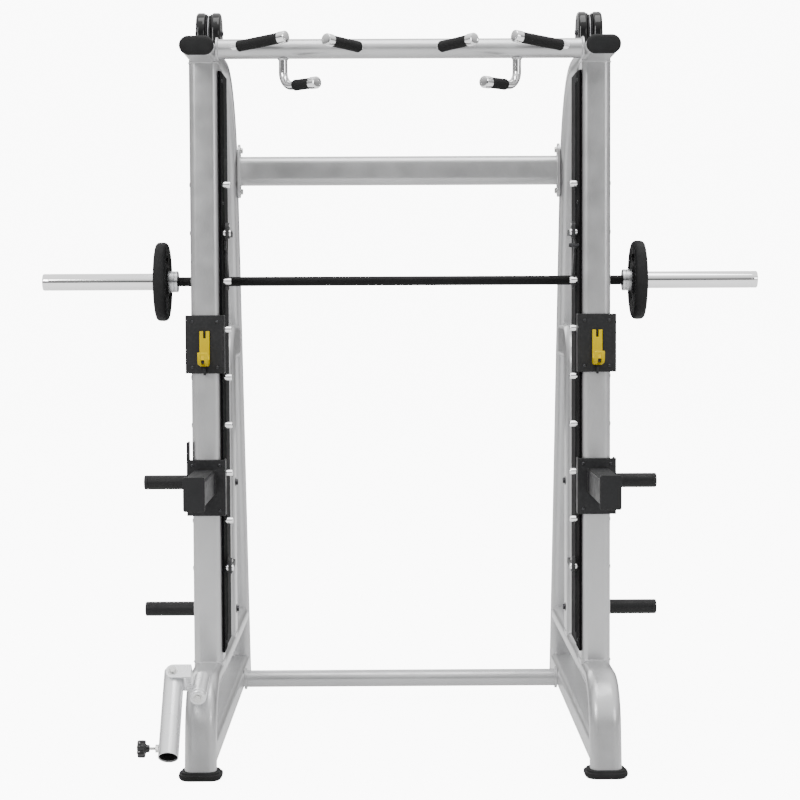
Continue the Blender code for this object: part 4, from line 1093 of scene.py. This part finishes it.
# ---- landmine ----
def landmine():
    end = SWIVEL_END
    profile = mm(
        (0, 16.5), (1.5, 20), (4, 22), (18, 22), (18.3, 14.8), (88.8, 14.8), (89.2, 23), (135, 23),
    )
    piece("swing_axle", turned(profile, end, SWIVEL_AXIS), BRIGHT, cad="landmine_axle")
    bolt("swing_axle_bolt", end, -SWIVEL_AXIS, 0.0085, ZINC)
    body = "landmine_swivel"
    profile = mm((18.8, 15.4), (18.8, 21.5), (20.2, 23), (86.8, 23), (88.2, 21.5), (88.2, 15.4))
    shape = turned(profile, end, SWIVEL_AXIS, 64, ring=True)
    piece("swing_sleeve", shape, BRIGHT, body, "landmine_clevis")
    pivot = LANDMINE_PIVOT
    along_ear = PIVOT_AXIS.cross(ACROSS)
    ear = [(0.05, -0.021), (0.05, 0.021), *arc(0, 0, 0.021, 0.021, 90, 180, 16)]
    for label, ends in (("upper", (0.031, 0.037)), ("lower", (-0.037, -0.031))):
        shape = prism(ear, pivot, ACROSS, along_ear, *ends)
        piece(f"clevis_ear_{label}", shape, BRIGHT, body, edge=0.0012)
    web = rounded_rectangle(0.0145, 0.042, 0.003, 4)
    shape = prism(web, pivot + ACROSS * 0.0435, ACROSS, along_ear, -0.0308, 0.0308)
    piece("clevis_web", shape, BRIGHT, body, edge=0.001)
    pin = rod(pivot - PIVOT_AXIS * 0.0385, pivot + PIVOT_AXIS * 0.0385, 0.0059, 24)
    piece("clevis_pin", pin, ZINC, body)
    bolt("clevis_pin_head", pivot + PIVOT_AXIS * 0.037, PIVOT_AXIS, 0.0085, ZINC, body)
    bolt("clevis_pin_nut", pivot - PIVOT_AXIS * 0.037, -PIVOT_AXIS, 0.0085, ZINC, body)
    outer, inner = 0.028, 0.0255
    profile = [(-0.02, inner), (-0.02, outer - 0.0008), (-0.0192, outer)]
    profile += [(LANDMINE_LENGTH - 0.0008, outer), (LANDMINE_LENGTH, outer - 0.0006)]
    profile += [(LANDMINE_LENGTH, inner + 0.0004), (LANDMINE_LENGTH - 0.0006, inner)]
    shape = turned(profile, pivot, TUBE_AXIS, 72, ring=True)
    body = "landmine_socket"
    piece("bar_socket", shape, BRIGHT, body, "landmine_tube")
    # Painted shade: a near-black liner over the socket's bore and a near-black disc at its back end
    # stand in for the shade inside the tube.
    profile = [(-0.017, inner - 0.0006), (-0.017, inner - 0.0001)]
    profile += [(LANDMINE_LENGTH - 0.005, inner - 0.0001), (LANDMINE_LENGTH - 0.005, inner - 0.0006)]
    piece("bar_socket_painted_shade_liner", turned(profile, pivot, TUBE_AXIS, 72, ring=True), BORE_PAINTED_SHADE, body)
    painted_shade_disc = rod(pivot - TUBE_AXIS * 0.0185, pivot - TUBE_AXIS * 0.0172, inner - 0.0002, 48)
    piece("bar_socket_painted_shade_back", painted_shade_disc, BORE_PAINTED_SHADE, body)
    knob_spot = pivot + TUBE_AXIS * KNOB_ALONG
    out = Vector((-1, 0, 0))
    nut = circle(0.0115, 6)
    piece("socket_nut", prism(nut, knob_spot, BACK, UP, -0.036, -0.0272), ZINC, body, edge=0.0006)
    body = "landmine_screw"
    threads = [(0.0268, 0.0036)]
    for index in range(15):
        base = 0.03 + index * 0.0015
        threads += [(base, 0.0042), (base + 0.0007, 0.0036)]
    threads += [(0.053, 0.004)]
    piece("clamp_screw", turned(threads, knob_spot, out, 24), ZINC, body)
    hub = mm((52, 9), (52.5, 10), (60, 11.2), (63.2, 14))
    piece("knob_hub", turned(hub, knob_spot, out, 40), GLOSS, body, "landmine_knob")
    rings = []
    levels = [(0.063, 0.86), (0.064, 0.95), (0.0665, 1.0), (0.0795, 1.0), (0.083, 0.95)]
    levels += [(0.0846, 0.84), (0.085, 0.6)]
    for along, factor in levels:
        ring = []
        for step in range(84):
            turn = 2 * math.pi * step / 84
            radius = (0.0222 + 0.0026 * math.cos(7 * turn)) * factor
            offset = BACK * math.cos(turn) * radius + UP * math.sin(turn) * radius
            ring.append(knob_spot + out * along + offset)
        rings.append(ring)
    piece("knob_star", loft(rings), GLOSS, body, angle=50)


def small_hardware():
    """Lock pin on the right guide and the column's fixing screws."""
    spot = at(STRIP_FACE, 0.03, 1.493)
    profile = mm((0, 5.2), (16, 5.2), (17, 6.2), (27, 6.2), (29, 5))
    piece("lock_pin_right", turned(profile, spot, (-1, 0, 0), 28), OXIDE)
    for side, name in SIDES:
        for index, z in enumerate((0.345, 0.78, 1.215, 1.65, 1.965), 1):
            spot = at(side * 0.605, 0.27, z)
            label = f"column_screw_{name}_{index}"
            button_bolt(label, spot, (side, 0, 0), 0.0055, ZINC)


# ---- surroundings ----
CAMERA_PLACE = (-0.037, -5.87, 1.35)
CAMERA_ANGLES = (("Z", -0.326), ("X", 90 - 2.97), ("Z", -0.25))     # turn, tilt, roll
CAMERA_LENS = 91.0
WORLD_FRONT = 0.06
WORLD_SIDE = 0.3
WORLD_BACK = 0.12
WORLD_TOP = 1.5
BACKDROP = 10.0
FLOOR_GLOW = 9.4
FLOOR_MIRRORED = 0.55
WHITE = (1.0, 1.0, 1.0, 1)
LIGHT_AIM = Vector((0, 0, 1.1))


def add_camera(scene):
    data = bpy.data.cameras.new("camera")
    data.sensor_width = 36.0
    data.lens = CAMERA_LENS
    data.clip_end = 100.0
    camera = bpy.data.objects.new("camera", data)
    scene.collection.objects.link(camera)
    camera.location = at(*CAMERA_PLACE)
    look = Matrix.Identity(3)
    for axis, angle in CAMERA_ANGLES:
        look = look @ Matrix.Rotation(math.radians(angle), 3, axis)
    camera.rotation_euler = look.to_euler()
    scene.camera = camera


def add_floor():
    bm = bmesh.new()
    bmesh.ops.create_grid(bm, x_segments=8, y_segments=8, size=14.0)
    floor = new_object("studio_floor", bm)
    ground = Surface("pale_floor", None, (0.55, 0.55, 0.55), 0.8)
    ground.tint(ground.remap(ground.noise(0.8, 3.0), 0.0, 0.3), (0.53, 0.53, 0.53))
    ground.vary_roughness(2.0, 0.05)
    mirrored = ground.math("MULTIPLY", ground.add("LightPath", "Is Glossy Ray"), FLOOR_MIRRORED)
    seen = ground.add("LightPath", "Is Camera Ray")
    glow = ground.math("MULTIPLY_ADD", seen, FLOOR_GLOW, mirrored)
    ground.feed(ground.shader["Emission Strength"], glow)
    ground.feed(ground.shader["Emission Color"], WHITE)
    floor.data.materials.append(ground.material)


def add_world(scene):
    """Soft boxes at the sides, behind and above, on a plain bright backdrop."""
    world = bpy.data.worlds.new("studio")
    scene.world = world
    world.use_nodes = True
    tree = NodeTree(world.node_tree)
    place = tree.add("TexCoord", "Generated")
    x, y, z = (tree.add("SeparateXYZ", axis, {"Vector": place}) for axis in "XYZ")
    level = WORLD_FRONT
    for source, start, end, strength in (
        (tree.math("ABSOLUTE", x), 0.65, 1.00, WORLD_SIDE),
        (y, 0.2, 0.9, WORLD_BACK),
        (z, 0.08, 0.75, WORLD_TOP),
    ):
        inputs = {"Value": source, "From Min": start, "From Max": end, "To Max": strength}
        level = tree.math("ADD", tree.add("MapRange", "Result", inputs), level)
    seen = tree.add("LightPath", "Is Camera Ray")
    background = tree.nodes["Background"].inputs
    tree.feed(background["Color"], WHITE)
    mix = tree.add("Mix", "Result", {"Factor": seen, "A": level, "B": BACKDROP})
    tree.feed(background["Strength"], mix)


def add_lights(scene):
    for name, place, size, power in (
        ("key", (-2.8, -4.8, 3.9), 1.8, 130.0),
        ("fill", (3.6, -4.6, 2.6), 2.0, 50.0),
        ("top", (0.3, -0.9, 4.8), 2.4, 80.0),
        ("rim", (-1.5, 4.4, 3.0), 2.4, 40.0),
    ):
        data = bpy.data.lights.new(name, "AREA")
        data.shape = "SQUARE"
        data.size = size
        data.energy = power
        light = bpy.data.objects.new(name, data)
        scene.collection.objects.link(light)
        light.location = place
        light.rotation_euler = (LIGHT_AIM - Vector(place)).to_track_quat("-Z", "Y").to_euler()


def surroundings():
    scene = bpy.context.scene
    add_camera(scene)
    add_floor()
    add_world(scene)
    add_lights(scene)


def main():
    make_materials()
    surroundings()
    for side, name in SIDES:
        side_frame(side, name)
        feet_and_caps(side, name)
        guide_column(side, name)
        cable_runs(side, name)
        counterweights(name)
        safety_stop(side, name, "upper", PEG_LEVELS[7])
        safety_stop(side, name, "lower", PEG_LEVELS[0])
        j_hook(side, name)
        spotter(side, name)
    crossbeams()
    pull_up_station()
    bar_and_carriages()
    landmine()
    small_hardware()


main()
